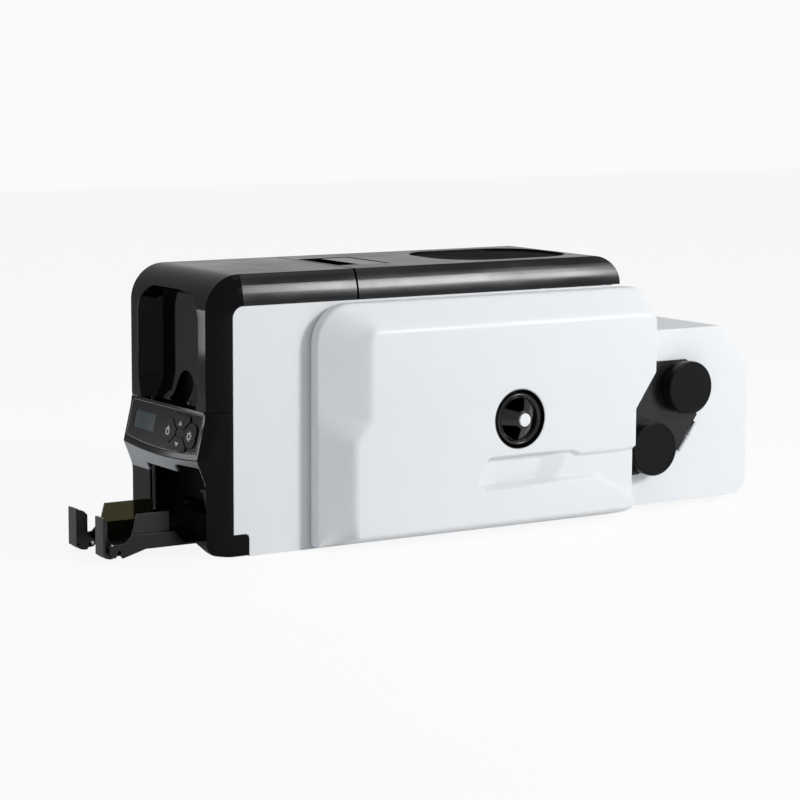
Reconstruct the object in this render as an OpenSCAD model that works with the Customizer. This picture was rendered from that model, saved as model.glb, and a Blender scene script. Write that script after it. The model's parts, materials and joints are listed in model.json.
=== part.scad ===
// Desktop id card printer with a side door over its mechanism and a laminating
// module behind it. Millimetres. Inside the modules the datum is the centre plane
// (X), the seam at the front of the flat top (Y) and the table (Z); place() moves
// every piece so that the origin is under the middle of the whole machine.
// The front faces -Y, the side door +X.

/* [Printer body] */
// Width over the two side panels
body_w = 183; // [170:1:200]
// Height of the flat top above the table
body_h = 290; // [280:1:310]
// Length from the front face to the rear face
body_len = 515; // [505:1:530]
// Distance from the front face back to the front top seam
front_reach = 39; // [39:1:44]
// Skin thickness of the moulded covers
skin = 2.5; // [2:0.25:3]
// Gap between the casing and the table
ground_gap = 1; // [0.5:0.25:2]
// Clearance between neighbouring covers
seam_gap = 0.5; // [0.4:0.1:0.8]
// Radial clearance of pins and shafts in their holes
run_gap = 0.05; // [0.03:0.01:0.08]

/* [Covers] */
// Width of the rounded shoulder, from the crease of the top to the side
shoulder_w = 9; // [7:0.5:11]
// Height of the rounded shoulder
shoulder_drop = 32; // [29:1:34]
// Radius where the front face turns into the top
front_round = 38; // [36:1:40]
// Radius where the top turns into the rear
rear_round = 29; // [26:1:31]
// Distance from the front seam to the gap before the rear top cover
cover_split = 135; // [130:1:140]
// Width of that gap
cover_split_gap = 2.4; // [1.8:0.2:3]
// Height of the seam under the hopper cover
hopper_seam_z = 151; // [148:1:153]
// Depth of the arched recess in the hopper cover
recess_depth = 22; // [18:1:24]
// Half-width of the arched recess at the front face
recess_half_w = 66; // [62:1:68]
// Height of the recess arch above the table
recess_top = 273; // [268:1:275]
// Half-width of the thumb notch
thumb_half_w = 18; // [15:1:20]

/* [Side door] */
// Distance the door's flat face stands out from the side panels
door_proud = 40; // [38:1:42]
// Thickness of the door's straight rim next to the side panel
door_rim = 14.5; // [13.5:0.5:15.5]
// Door front edge, from the front seam
door_front = 76; // [74:1:80]
// Door rear edge at the upper part, from the front seam
door_rear = 502; // [500:1:503]
// Height of the door's upper edge
door_top = 256; // [252:1:257]
// Gap between the door and the table
door_low = 4; // [3.5:0.5:6]
// Radius of the hole for the hand wheel
wheel_hole_r = 32; // [31:0.5:33]
// Opening angle of the door
door_swing = 90; // [60:5:90]

/* [Mechanism] */
// Height of the axes of the card feed rollers and the hand wheel
feed_z = 124.5; // [122:0.5:126]
// Distance of the hand wheel's axis from the front seam
wheel_y = 315; // [312:1:318]
// Radius of the card feed rollers
roller_r = 10; // [8:0.5:11]
// Radius of the roller shafts
shaft_r = 4; // [3:0.5:4.5]
// Half the distance between the two metal side frames
frame_half_w = 70; // [66:1:72]
// Thickness of the metal side frames
frame_t = 2; // [1.5:0.5:3]

/* [Output tray] */
// Outer width of the output tray
tray_w = 82; // [78:1:84]
// Reach of the tray's card stops ahead of the front face
tray_reach = 97; // [92:1:102]
// Height of the card stops
stop_h = 38; // [34:1:40]

/* [Laminating module] */
// Length of the module behind the printer
module_len = 186; // [180:1:195]
// Height of the module's top above the table
module_top = 204; // [200:1:208]
// Gap between the module and the table
module_low = 7; // [6:0.5:9]
// Radius of the film spool knobs
knob_r = 30; // [28:0.5:31]
// Distance the knobs stand out from the module's side
knob_proud = 20; // [18:1:24]

/* [Hidden] */
$fn = 48;

// Placing and drawing helpers ------------------------------------------------

half_w = body_w / 2;
rear_y = body_len - front_reach;
shoulder_z = body_h - shoulder_drop;
shoulder_radius = (pow(shoulder_w, 2) + pow(shoulder_drop, 2)) / (2 * shoulder_w);
shoulder_sweep = asin(shoulder_drop / shoulder_radius);
shoulder_steps = 8;
round_fn = 64;
inner_fn = 32;

door_face = half_w + door_proud;
wheel_tip = door_face + 9.5;
module_end = rear_y + module_len;
tray_front = -front_reach - tray_reach;
mid_x = (wheel_tip - half_w) / 2;
mid_y = (tray_front + module_end) / 2;

// Moves a piece from the printer's datum to the origin under the middle of the whole
module place() { translate([-mid_x, -mid_y, 0]) children(); }

// Box between two corners
module block(x, y, z) { translate([x[0], y[0], z[0]]) cube([x[1] - x[0], y[1] - y[0], z[1] - z[0]]); }

// Round bar across the machine
module cross_rod(x, y, z, r) { translate([x[0], y, z]) rotate([0, 90, 0]) cylinder(r = r, h = x[1] - x[0]); }

// Joins a moulded skin and what is cut from it into one faceted body
module one_body() {
  resize([0, 0, 0]) children();
}

// Outline drawn in Y and Z, carried from one X to another
module side_extrude(x) {
  translate([x[0], 0, 0]) rotate([90, 0, 90]) linear_extrude(x[1] - x[0]) children();
}

// Rectangle with round corners about the origin
module round_rect(w, h, r) {
  square([w - 2 * r, h], center = true);
  square([w, h - 2 * r], center = true);
  for (sx = [-1, 1], sy = [-1, 1]) translate([sx * (w / 2 - r), sy * (h / 2 - r)]) circle(r);
}

// Casing form ----------------------------------------------------------------

panel_front = 27 - front_reach;
panel_round = 12;
strip_share = (panel_front + front_reach) / shoulder_drop;
foot_round = 14;
foot_back = 5.5;
foot_top = 24;
sliver = 0.2;

// One slice of the casing across X: a thin plate with the front corners round
module casing_slice(drop, t) {
  front = -front_reach + t + drop * strip_share;
  top = body_h - t - drop;
  low = ground_gap - 2 * t;
  r_top = max(front_round - t - drop, 3);
  corners = [[front + r_top, top - r_top, r_top], [front + foot_round, low + foot_round, foot_round],
    [rear_y - 1, top - 1, 1], [rear_y - 1, low + 1, 1]];
  for (c = corners) translate([0, c[0], c[1]]) rotate([0, 90, 0])
    cylinder(r = c[2], h = sliver, center = true, $fn = t > 0 ? inner_fn : round_fn);
}

// Outline from the side with the quarter-round at the rear of the top
module rear_profile(t) {
  r = rear_round - t;
  end = rear_y - t;
  top = body_h - t;
  translate([-front_reach - 2, -2 * t]) square([end - r + front_reach + 2, top + 2 * t]);
  translate([-front_reach - 2, -2 * t]) square([end + front_reach + 2, top - r + 2 * t]);
  translate([end - r, top - r]) circle(r, $fn = round_fn);
}

// The whole printer body, t inside its outer skin, with round shoulders
module casing(t) {
  intersection() {
    hull()
      for (side = [-1, 1], i = [0:shoulder_steps]) {
        a = shoulder_sweep * i / shoulder_steps;
        translate([side * (half_w - t - shoulder_radius * (1 - cos(a))), 0, 0])
          casing_slice(shoulder_drop - shoulder_radius * sin(a), t);
      }
    side_extrude([-half_w, half_w]) rear_profile(t);
  }
}

// Foot of the lower bezel that runs under the side panel, seen from the side
module foot_profile(grow) {
  r = 5;
  depth = foot_back + grow + front_reach + 20;
  translate([-front_reach - 20, -5]) square([depth, foot_top + grow - r + 5]);
  translate([-front_reach - 20, -5]) square([depth - r, foot_top + grow + 5]);
  translate([foot_back + grow - r, foot_top + grow - r]) circle(r);
}

// Side panel seen from the side
module panel_profile(grow) {
  difference() {
    union() {
      translate([panel_front - grow, ground_gap])
        square([rear_y - panel_front + grow, shoulder_z - panel_round - ground_gap]);
      translate([panel_front + panel_round, ground_gap])
        square([rear_y - panel_front - panel_round, shoulder_z + grow - ground_gap]);
      translate([panel_front + panel_round, shoulder_z - panel_round]) circle(panel_round + grow);
    }
    foot_profile(seam_gap - grow);
  }
}

// Base and feet ---------------------------------------------------------------

base_low = 2;
base_t = 2;
base_top = base_low + base_t;
base_front = -6;
inner_w = half_w - skin;
printer_feet = [[-70, 20], [70, 20], [-70, rear_y - 36], [70, rear_y - 36]];
module_feet = [[-38, rear_y + 150], [38, rear_y + 150]];
foot_r = 9;

// Folded steel plate that carries the frames
module base_plate() {
  color("silver") place()
    block([-inner_w + 1, inner_w - 1], [base_front, rear_y - 3.3], [base_low, base_top]);
}

// Rubber feet under the printer and the taller ones under the module
module feet() {
  color([0.12, 0.12, 0.12]) place() {
    for (p = printer_feet) translate([p[0], p[1], 0]) cylinder(r = foot_r, h = base_low);
    for (p = module_feet)
      translate([p[0], p[1], 0]) cylinder(r1 = foot_r - 1, r2 = foot_r, h = module_low, $fn = 40);
  }
}

// Side panels -----------------------------------------------------------------

window_y = [112, rear_y - 24];
window_z = [40, shoulder_z - 18];

hinge_relief = 2;

// Panel outline with its rear top corner cut clear of the rear cover's end as it swings
module panel_with_hinge_relief() {
  difference() {
    panel_profile(0);
    translate([rear_hinge_y, rear_hinge_z]) circle(rear_y - rear_hinge_y + hinge_relief);
  }
}

// White outer panel on the side away from the door
module side_panel_left() {
  color([0.9, 0.91, 0.93]) place() side_extrude([-half_w, -inner_w]) panel_with_hinge_relief();
}

// White outer panel under the door, open where the door gives access
module side_panel_right() {
  color([0.9, 0.91, 0.93]) place() difference() {
    side_extrude([inner_w, half_w]) panel_with_hinge_relief();
    block([inner_w - 1, half_w + 1], window_y, window_z);
  }
}

// Lower bezel -------------------------------------------------------------------

nose_top_y = -front_reach + 1;
nose_y = -front_reach - 10.5;
nose_z = hopper_seam_z - 48.5;
nose_bow = 4.2;
chin_z = nose_z - 26.5;
nose_tilt = atan((nose_top_y - nose_y) / (hopper_seam_z - nose_z));

// Plan of the bezel's front at one height, with the front edges rolled back to the panels
module bezel_plan(front, t) {
  roll = [for (i = [0:shoulder_steps]) let (a = shoulder_sweep * i / shoulder_steps)
    [half_w - t - shoulder_radius * (1 - cos(a)),
     front + t + (shoulder_drop - shoulder_radius * sin(a)) * (panel_front - front) / shoulder_drop]];
  left = [for (i = [shoulder_steps:-1:0]) [-roll[i][0], roll[i][1]]];
  back = panel_front + t + 2 * t + 0.2;
  polygon(concat([[-half_w + t, back], [half_w - t, back]], roll, left));
}

// Sets a piece on the leaning panel: X across, Y up its face, Z out of it
module on_panel() {
  translate([0, nose_top_y, hopper_seam_z]) rotate([90 - nose_tilt, 0, 0]) children();
}

// Panel outline between straight sides whose lower edge is bowed
module bowed_panel(w, top, side, bow) {
  bow_r = (pow(w / 2, 2) + pow(bow, 2)) / (2 * bow);
  intersection() {
    translate([-w / 2, top - side - bow]) square([w, side + bow]);
    translate([0, top - side - bow + bow_r]) circle(bow_r, $fn = 180);
  }
}

// Thin plate in the leaning face, down to its bowed edge
module nose_plate(t) {
  side = (hopper_seam_z - nose_z) / cos(nose_tilt) - t;
  on_panel() translate([0, 0, -t - sliver]) linear_extrude(sliver)
    bowed_panel(2 * (half_w - shoulder_w - t), -1, side - 1, nose_bow);
}

// Thin plate of that plan at a height
module bezel_section(z, front, t) { translate([0, 0, z]) linear_extrude(sliver) bezel_plan(front, t); }

// Outer or inner form of the bezel: leaning panel, chin, lower front
module bezel_form(t) {
  low = ground_gap - 3 * t;
  hull() {
    bezel_section(hopper_seam_z - seam_gap / 2 - t - sliver, nose_top_y, t);
    bezel_section(nose_z, nose_y, t);
    nose_plate(t);
  }
  hull() {
    bezel_section(nose_z, nose_y, t);
    bezel_section(chin_z, -front_reach, t);
    nose_plate(t);
  }
  hull() {
    bezel_section(chin_z, -front_reach, t);
    bezel_section(low + foot_round, -front_reach, t);
    bezel_section(low + foot_round / 4, -front_reach + foot_round / 3, t);
    bezel_section(low, -front_reach + foot_round, t);
  }
}

fascia_w = 158;
fascia_top = -3;
fascia_side_h = 40;
fascia_bow = 4.8;

// Outline of the fascia
module fascia_outline(grow) {
  bowed_panel(fascia_w + 2 * grow, fascia_top + grow, fascia_side_h + 2 * grow, fascia_bow);
}

// Card exit seen from the front: a step in its top edge, a tab and a toe on its right
module exit_outline() {
  polygon([[-42, -10], [-42, 84], [28, 84], [28.5, 91], [36, 93], [81, 94.5], [81, 73], [69, 70], [74, 66],
    [79, 60], [81, 52], [81, 32], [76, 21], [60, 15.5], [60, 13.5], [70, 10], [81, 3], [81, -10]]);
}

// Black moulded lower front with the card exit and the feet under the panels
module lower_bezel() {
  color([0.06, 0.06, 0.07]) place() one_body() difference() {
    union() {
      difference() {
        bezel_form(0);
        bezel_form(skin);
        block([-half_w - 1, half_w + 1], [panel_front - seam_gap, foot_back + 40], [-10, body_h]);
      }
      for (side = [-1, 1])
        intersection() {
          side_extrude(side > 0 ? [inner_w, half_w] : [-half_w, -inner_w]) foot_profile(0);
          block([-half_w, half_w], [panel_front - seam_gap, foot_back + 1], [ground_gap, foot_top + 1]);
        }
    }
    translate([0, panel_front, 0]) rotate([90, 0, 0]) linear_extrude(front_reach + 20) exit_outline();
    on_panel() translate([0, 0, -skin - 2]) linear_extrude(skin + 4) fascia_outline(0.3);
  }
}

bulkhead_y = -9;
bulkhead_t = 2.5;
tray_x = 3;
card_w = 54;

// Black wall behind the exit, with the slot that the cards leave by
module front_bulkhead() {
  color([0.05, 0.05, 0.05]) place() difference() {
    block([-inner_w + 0.5, inner_w - 0.5], [bulkhead_y, bulkhead_y + bulkhead_t],
      [base_low, hopper_seam_z - skin - 1]);
    block([tray_x - card_w / 2 - 3, tray_x + card_w / 2 + 3], [bulkhead_y - 1, bulkhead_y + 4], [34, 50]);
  }
}

// Control panel -----------------------------------------------------------------

lcd_x = [-68, -22];
lcd_y = [-33, -14.5];
pad_x = 37;
pad_y = -26.5;
pad_w = 70;
pad_h = 38;
pad_arm_w = 36;
pad_arm_h = 25;
pad_gap = 0.5;
pad_waist = 4;
pad_spread = 1.1;
pad_slack = 1.4;
flange_w = 1.5;
button_proud = 1.3;
button_deep = 6.6;
button_travel = 1;
board_deep = 9;
board_t = 1.6;

// Cross-shaped outline of the four buttons together
module pad_outline(grow) {
  round_rect(pad_arm_w + 2 * grow, pad_h + 2 * grow, 5 + grow);
  round_rect(pad_w + 2 * grow, pad_arm_h + 2 * grow, 8 + grow);
}

// Dark fascia with the display window and the opening for the buttons
module control_panel() {
  color([0.09, 0.09, 0.1]) place() on_panel() translate([0, 0, -skin]) linear_extrude(skin) difference() {
    fascia_outline(0);
    translate([lcd_x[0] - 0.2, lcd_y[0] - 0.2])
      square([lcd_x[1] - lcd_x[0] + 0.4, lcd_y[1] - lcd_y[0] + 0.4]);
    translate([pad_x, pad_y]) pad_outline(pad_gap);
  }
}

// Liquid crystal display on its circuit board
module display() {
  color([0.2, 0.26, 0.3]) place() on_panel() {
    block(lcd_x, lcd_y, [-board_deep, -0.5]);
    block([lcd_x[0] - 5, pad_x + pad_w / 2 + 2], [pad_y - pad_h / 2 - 1, -6],
      [-board_deep - board_t, -board_deep]);
    for (x = [lcd_x[0] - 2, pad_x + pad_w / 2 - 1])
      block([x - 2, x + 2], [-9.5, -6], [-board_deep, -skin]);
  }
}

hub_w = 16;
hub_h = 8;
hub_arm_w = 1.1;
hub_arm_len = 21;

// Silver piece in the middle of the buttons, with an arm between each two of them
module button_hub() {
  color([0.6, 0.62, 0.64]) place() on_panel() translate([pad_x, pad_y, -board_deep]) {
    linear_extrude(board_deep + 0.6) round_rect(hub_w, hub_h, 3);
    linear_extrude(board_deep + 0.3) for (side = [-1, 1], end = [-1, 1])
      translate([side * pad_waist, 0]) rotate(end * side * atan(1 / pad_spread) + (side < 0 ? 180 : 0))
        translate([0, -hub_arm_w / 2]) square([hub_arm_len - pad_waist, hub_arm_w]);
  }
}

// One quarter of the pad: 0 right, 1 up, 2 left, 3 down
module pad_quarter(turn) {
  reach = 60;
  near = pad_waist - pad_slack;
  far = pad_waist + pad_slack;
  upright = [[-near, 0], [near, 0], [near + pad_spread * reach, reach], [-near - pad_spread * reach, reach]];
  sideways = [[far, 0], [far + pad_spread * reach, reach], [2 * reach, reach],
    [2 * reach, -reach], [far + pad_spread * reach, -reach]];
  if (turn == 1) polygon(upright);
  if (turn == 3) mirror([0, 1]) polygon(upright);
  if (turn == 0) polygon(sideways);
  if (turn == 2) mirror([1, 0]) polygon(sideways);
}

// Push button cut from the pad, with a flange that keeps it behind the fascia
module pad_button(turn) {
  color([0.07, 0.07, 0.08]) place() on_panel() translate([pad_x, pad_y, 0]) difference() {
    union() {
      translate([0, 0, -button_deep]) linear_extrude(button_deep + button_proud)
        intersection() { pad_outline(0); pad_quarter(turn); }
      translate([0, 0, -skin - 2.1]) linear_extrude(1.6)
        intersection() { pad_outline(flange_w); pad_quarter(turn); }
    }
    translate([0, 0, -board_deep]) linear_extrude(board_deep + 3) round_rect(hub_w + 1, hub_h + 1, 3.5);
  }
}

module button_up() { pad_button(1); }
module button_down() { pad_button(3); }
module button_left() { pad_button(2); }
module button_right() { pad_button(0); }

// Hopper cover ------------------------------------------------------------------

cover_hinge_y = -3.5;
cover_hinge_z = body_h - 3.4;
cover_hinge_r = 3;
cover_pin_r = 1;
ear_x = 60;
ear_w = 4;
arch_r = 34;

// Arched recess in the hopper cover, or the outside of its wall when grown
module recess_form(grow) {
  inward = 12;
  back_y = -front_reach + recess_depth + grow;
  hull()
    for (side = [-1, 1]) {
      translate([side * (recess_half_w + grow - arch_r), -front_reach - 1, recess_top + grow - arch_r])
        rotate([90, 0, 0]) cylinder(r = arch_r, h = sliver, $fn = round_fn);
      translate([side * (recess_half_w + grow - inward - arch_r / 2), back_y,
        recess_top + grow - 8 - arch_r / 2])
        rotate([90, 0, 0]) cylinder(r = arch_r / 2, h = sliver, $fn = round_fn);
      translate([side * (recess_half_w + grow - 1), -front_reach - 1, hopper_seam_z - 10])
        rotate([90, 0, 0]) cylinder(r = 1, h = sliver, $fn = 16);
      translate([side * (recess_half_w + grow - inward - 1), back_y, hopper_seam_z - 10])
        rotate([90, 0, 0]) cylinder(r = 1, h = sliver, $fn = 16);
    }
}

// Arched notch that a thumb goes through
module thumb_notch() {
  top = hopper_seam_z + 33;
  translate([0, 0, top - thumb_half_w]) rotate([90, 0, 0])
    cylinder(r = thumb_half_w, h = front_reach);
  block([-thumb_half_w, thumb_half_w], [-front_reach, 0], [hopper_seam_z - 2, top - thumb_half_w]);
}

// Keeps what is inside a round edge about an axis across the machine
module edge_trim(y, z, r, lift) {
  difference() {
    block([-half_w - 1, half_w + 1], [y, y + 3 * r], lift > 0 ? [z, z + 3 * r] : [z - 3 * r, z]);
    cross_rod([-half_w - 2, half_w + 2], y, z, r);
  }
}

// Glossy cover over the card hopper, hinged at its top edge
module hopper_cover() {
  color([0.05, 0.05, 0.06]) place() difference() {
    one_body() difference() {
      union() {
        difference() {
          casing(0);
          casing(skin);
          block([-half_w - 1, half_w + 1], [-seam_gap / 2, rear_y + 1], [-10, body_h + 1]);
          block([-half_w - 1, half_w + 1], [-front_reach - 1, 0], [-10, hopper_seam_z + seam_gap / 2]);
          side_extrude([-half_w - 1, half_w + 1]) panel_profile(seam_gap);
        }
        intersection() {
          recess_form(skin);
          casing(0);
          block([-half_w, half_w], [-front_reach - 1, -1], [hopper_seam_z + seam_gap / 2, body_h]);
        }
        cross_rod([-crease_x + 4, crease_x - 4], cover_hinge_y, cover_hinge_z, cover_hinge_r);
      }
      recess_form(0);
      thumb_notch();
      edge_trim(cover_hinge_y, cover_hinge_z, cover_hinge_r + 0.15, 1);
      for (x = [-ear_x, ear_x])
        block([x - ear_w / 2 - 0.4, x + ear_w / 2 + 0.4],
          [cover_hinge_y - cover_hinge_r - 0.7, 1], [cover_hinge_z - cover_hinge_r - 0.7, body_h + 1]);
    }
    for (x = [-ear_x, ear_x])
      cross_rod([x - 9, x + 9], cover_hinge_y, cover_hinge_z, cover_pin_r + run_gap);
  }
}

crease_x = half_w - shoulder_w;
rear_hinge_y = rear_y - 5;
rear_hinge_z = shoulder_z + 3;
rear_hinge_r = 5;
rear_pin_r = 2;
rear_ear_x = frame_half_w - 3.2;
rear_ear_w = 6.4;

// Steel hinge pins of the hopper cover and the rear top cover
module cover_hinge_pins() {
  color("silver") place() for (side = [-1, 1]) {
    cross_rod([side * ear_x - 8, side * ear_x + 8], cover_hinge_y, cover_hinge_z, cover_pin_r);
    cross_rod([side * rear_ear_x - 10, side * rear_ear_x + 10], rear_hinge_y, rear_hinge_z, rear_pin_r);
  }
}

// Card hopper and its roller ------------------------------------------------------

hopper_in_w = 58;
hopper_y = [-10, 79];
hopper_floor_t = 3;
hopper_wall = 2;
hopper_top = 262;
pick_y = 30;
pick_z = hopper_seam_z + 1 - roller_r;

// Well that the blank cards lie in, on a floor that rests between the frames
module card_hopper() {
  color([0.1, 0.1, 0.11]) place() difference() {
    union() {
      block([-hopper_in_w / 2 - hopper_wall, hopper_in_w / 2 + hopper_wall], hopper_y,
        [hopper_seam_z - hopper_floor_t, hopper_top]);
      block([-frame_half_w, frame_half_w], [frame_front, hopper_y[1]],
        [hopper_seam_z - hopper_floor_t, hopper_seam_z]);
    }
    block([-hopper_in_w / 2, hopper_in_w / 2], [hopper_y[0] + hopper_wall, hopper_y[1] - hopper_wall],
      [hopper_seam_z, hopper_top + 1]);
    block([-13, 13], [pick_y - roller_r - 2, pick_y + roller_r + 2], [hopper_seam_z - 10, hopper_seam_z + 1]);
    block([-card_w / 2, card_w / 2], [hopper_y[1] - 3, hopper_y[1] + 1], [hopper_seam_z, hopper_seam_z + 2]);
  }
}

// Rubber roller that pushes the lowest card out of the hopper
module pick_roller() {
  color([0.3, 0.3, 0.32]) place() {
    cross_rod([-11, 11], pick_y, pick_z, roller_r);
    cross_rod([-frame_half_w - 4, frame_half_w + 4], pick_y, pick_z, shaft_r);
  }
}

// Top covers ----------------------------------------------------------------------

// Part of the casing's skin above the side panels, between two places along it
module top_skin(y, lip) {
  difference() {
    casing(0);
    difference() {
      casing(skin);
      block([-half_w - 1, half_w + 1], [y[0] - 1, y[0] + lip], [0, body_h + 1]);
    }
    block([-half_w - 1, half_w + 1], [-front_reach - 1, y[0]], [-10, body_h + 1]);
    block([-half_w - 1, half_w + 1], [y[1], rear_y + 1], [-10, body_h + 1]);
    block([-half_w - 1, half_w + 1], [-front_reach - 1, rear_y + 1], [-10, shoulder_z + seam_gap]);
  }
}

// Fixed black cover between the hopper and the rear cover, with the hopper's hinge ears
module top_cover_front() {
  ear_r = 2.2;
  color([0.07, 0.07, 0.08]) place() difference() {
    one_body() {
      top_skin([seam_gap / 2, cover_split], 0);
      for (x = [-ear_x, ear_x]) {
        cross_rod([x - ear_w / 2, x + ear_w / 2], cover_hinge_y, cover_hinge_z, ear_r);
        block([x - ear_w / 2, x + ear_w / 2], [cover_hinge_y, 12], [cover_hinge_z - ear_r, body_h - skin]);
      }
    }
    for (x = [-ear_x, ear_x])
      cross_rod([x - 4, x + 4], cover_hinge_y, cover_hinge_z, cover_pin_r + run_gap);
  }
}

rear_cover_y = cover_split + cover_split_gap;
well_w = 88;
well_y = [rear_cover_y + 3.6, rear_cover_y + 67.6];
well_z = body_h - 18;
well_wall = 2;
paddle_y = well_y[1] - 5.5;
paddle_z = body_h - 4.5;
paddle_pin_r = 1.5;
paddle_len = 30;
paddle_pin_in = 0.8;
vent_w = 130;
vent_len = 168;
vent_r = 50;
vent_y = cover_split + 225;

// Long black cover over the mechanism, hinged at the rear, with the latch well and vent
module top_cover_rear() {
  color([0.07, 0.07, 0.08]) place() difference() {
    one_body() difference() {
      union() {
        top_skin([rear_cover_y, rear_y + 1], 1.6);
        block([-well_w / 2 - well_wall, well_w / 2 + well_wall],
          [well_y[0] - well_wall, well_y[1] + well_wall], [well_z - well_wall, body_h - skin / 2]);
        cross_rod([-crease_x + 2, crease_x - 2], rear_hinge_y, rear_hinge_z, rear_hinge_r - 0.3);
      }
      block([-well_w / 2, well_w / 2], well_y, [well_z, body_h + 1]);
      translate([0, vent_y, body_h - skin - 1]) linear_extrude(skin + 2) round_rect(vent_w, vent_len, vent_r);
      edge_trim(rear_hinge_y, rear_hinge_z, rear_hinge_r + 0.3, -1);
      for (x = [-rear_ear_x, rear_ear_x])
        block([x - rear_ear_w / 2 - 0.4, x + rear_ear_w / 2 + 0.4],
          [rear_hinge_y - rear_hinge_r - 1, rear_hinge_y + rear_hinge_r + 1],
          [rear_hinge_z - rear_hinge_r - 1, rear_hinge_z + rear_hinge_r + 1]);
    }
    cross_rod([-well_w / 2 - paddle_pin_in - 0.2, well_w / 2 + paddle_pin_in + 0.2], paddle_y, paddle_z,
      paddle_pin_r + run_gap);
    for (x = [-rear_ear_x, rear_ear_x])
      cross_rod([x - 12, x + 12], rear_hinge_y, rear_hinge_z, rear_pin_r + run_gap);
  }
}

slot_pitch = 8;
slot_w = 4;

// Grille under the vent opening, with slanting slots
module vent_grille() {
  color([0.12, 0.12, 0.13]) place() translate([0, vent_y, body_h - skin - 2.5]) linear_extrude(2.2)
    difference() {
      round_rect(vent_w + 8, vent_len + 8, vent_r + 4);
      intersection() {
        round_rect(vent_w - 12, vent_len - 12, vent_r - 6);
        for (i = [-18:18]) rotate(40) translate([-150, i * slot_pitch - slot_w / 2]) square([300, slot_w]);
      }
    }
}

// Sprung paddle that unlatches the rear top cover, on its own two pins
module latch_paddle() {
  half = well_w / 2 - 0.4;
  color([0.06, 0.06, 0.06]) place() {
    block([-half, half], [paddle_y - paddle_len, paddle_y + 2.4], [body_h - 3.2, body_h - 0.4]);
    cross_rod([-half, half], paddle_y, paddle_z, 3);
    cross_rod([-well_w / 2 - paddle_pin_in, well_w / 2 + paddle_pin_in], paddle_y, paddle_z,
      paddle_pin_r);
  }
}

// Steel ears on the frames that carry the rear top cover
module cover_hinge_ears() {
  color("silver") place() for (side = [-1, 1]) {
    x = [side * rear_ear_x - rear_ear_w / 2, side * rear_ear_x + rear_ear_w / 2];
    difference() {
      union() {
        cross_rod(x, rear_hinge_y, rear_hinge_z, 4);
        side_extrude(x) polygon([[frame_rear - 22, frame_top - 18], [frame_rear - 2, frame_top - 18],
          [rear_hinge_y + 3.4, rear_hinge_z - 2.2], [rear_hinge_y - 3.2, rear_hinge_z + 2.4],
          [frame_rear - 22, frame_top - 6]]);
      }
      cross_rod([x[0] - 1, x[1] + 1], rear_hinge_y, rear_hinge_z, rear_pin_r + run_gap);
    }
  }
}

// Rear panel and what is in it ------------------------------------------------------

rear_t = 3;
card_gate_z = [feed_z + 6, feed_z + 18];
strip_z = shoulder_z - 28;
fan_x = -42;
fan_w = 40;
inlet_x = 48;
switch_x = 22;
ports_x = -4;

// Rear wall of the printer; the module docks against its lower part
module rear_panel() {
  color([0.1, 0.1, 0.11]) place() difference() {
    union() {
      block([-inner_w + 0.3, inner_w - 0.3], [rear_y - rear_t, rear_y], [ground_gap, shoulder_z - 3.5]);
      for (x = [switch_x - 8, switch_x + 6.2])
        block([x, x + 1.8], [rear_y - rear_t - 7, rear_y - rear_t], [strip_z - 5, strip_z + 5]);
    }
    cross_rod([switch_x - 9, switch_x + 9], rear_y - 5, strip_z, 1 + run_gap);
    block([-card_w / 2 - 4, card_w / 2 + 4], [rear_y - rear_t - 1, rear_y + 1], card_gate_z);
    translate([fan_x, rear_y + 1, strip_z]) rotate([90, 0, 0]) cylinder(r = fan_w / 2 - 2, h = rear_t + 2);
    block([inlet_x - 13.5, inlet_x + 13.5], [rear_y - rear_t - 1, rear_y + 1], [strip_z - 10, strip_z + 10]);
    block([switch_x - 6, switch_x + 6], [rear_y - rear_t - 1, rear_y + 1], [strip_z - 9, strip_z + 9]);
    block([ports_x - 15, ports_x + 15], [rear_y - rear_t - 1, rear_y + 1], [strip_z - 7, strip_z + 7]);
  }
}

// Appliance inlet for the mains lead
module power_inlet() {
  color([0.08, 0.08, 0.08]) place() difference() {
    union() {
      block([inlet_x - 13.2, inlet_x + 13.2], [rear_y - 22, rear_y], [strip_z - 9.7, strip_z + 9.7]);
      block([inlet_x - 17, inlet_x + 17], [rear_y - 5, rear_y - rear_t], [strip_z - 13, strip_z + 13]);
    }
    block([inlet_x - 11, inlet_x + 11], [rear_y - 18, rear_y + 1], [strip_z - 7, strip_z + 7]);
  }
}

// Usb and network sockets in one block
module data_ports() {
  color([0.7, 0.7, 0.72]) place() difference() {
    union() {
      block([ports_x - 14.7, ports_x + 14.7], [rear_y - 18, rear_y - 0.5], [strip_z - 6.7, strip_z + 6.7]);
      block([ports_x - 17, ports_x + 17], [rear_y - 18, rear_y - rear_t], [strip_z - 9, strip_z + 9]);
    }
    block([ports_x - 12, ports_x - 3], [rear_y - 14, rear_y], [strip_z - 4, strip_z + 4]);
    block([ports_x + 1, ports_x + 13], [rear_y - 14, rear_y], [strip_z - 5, strip_z + 5]);
  }
}

// Rocker of the power switch, on pins in its frame
module power_switch() {
  color([0.05, 0.05, 0.05]) place() {
    side_extrude([switch_x - 5, switch_x + 5])
      polygon([[rear_y - 4, strip_z - 7.5], [rear_y - 0.2, strip_z - 7.5], [rear_y - 1.8, strip_z],
        [rear_y + 1.2, strip_z + 7.5], [rear_y - 4, strip_z + 7.5], [rear_y - 8, strip_z]]);
    cross_rod([switch_x - 7.4, switch_x + 7.4], rear_y - 5, strip_z, 1);
  }
}

fan_t = 10;
fan_back = rear_y - rear_t;
rotor_pin_r = 1.5;

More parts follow.
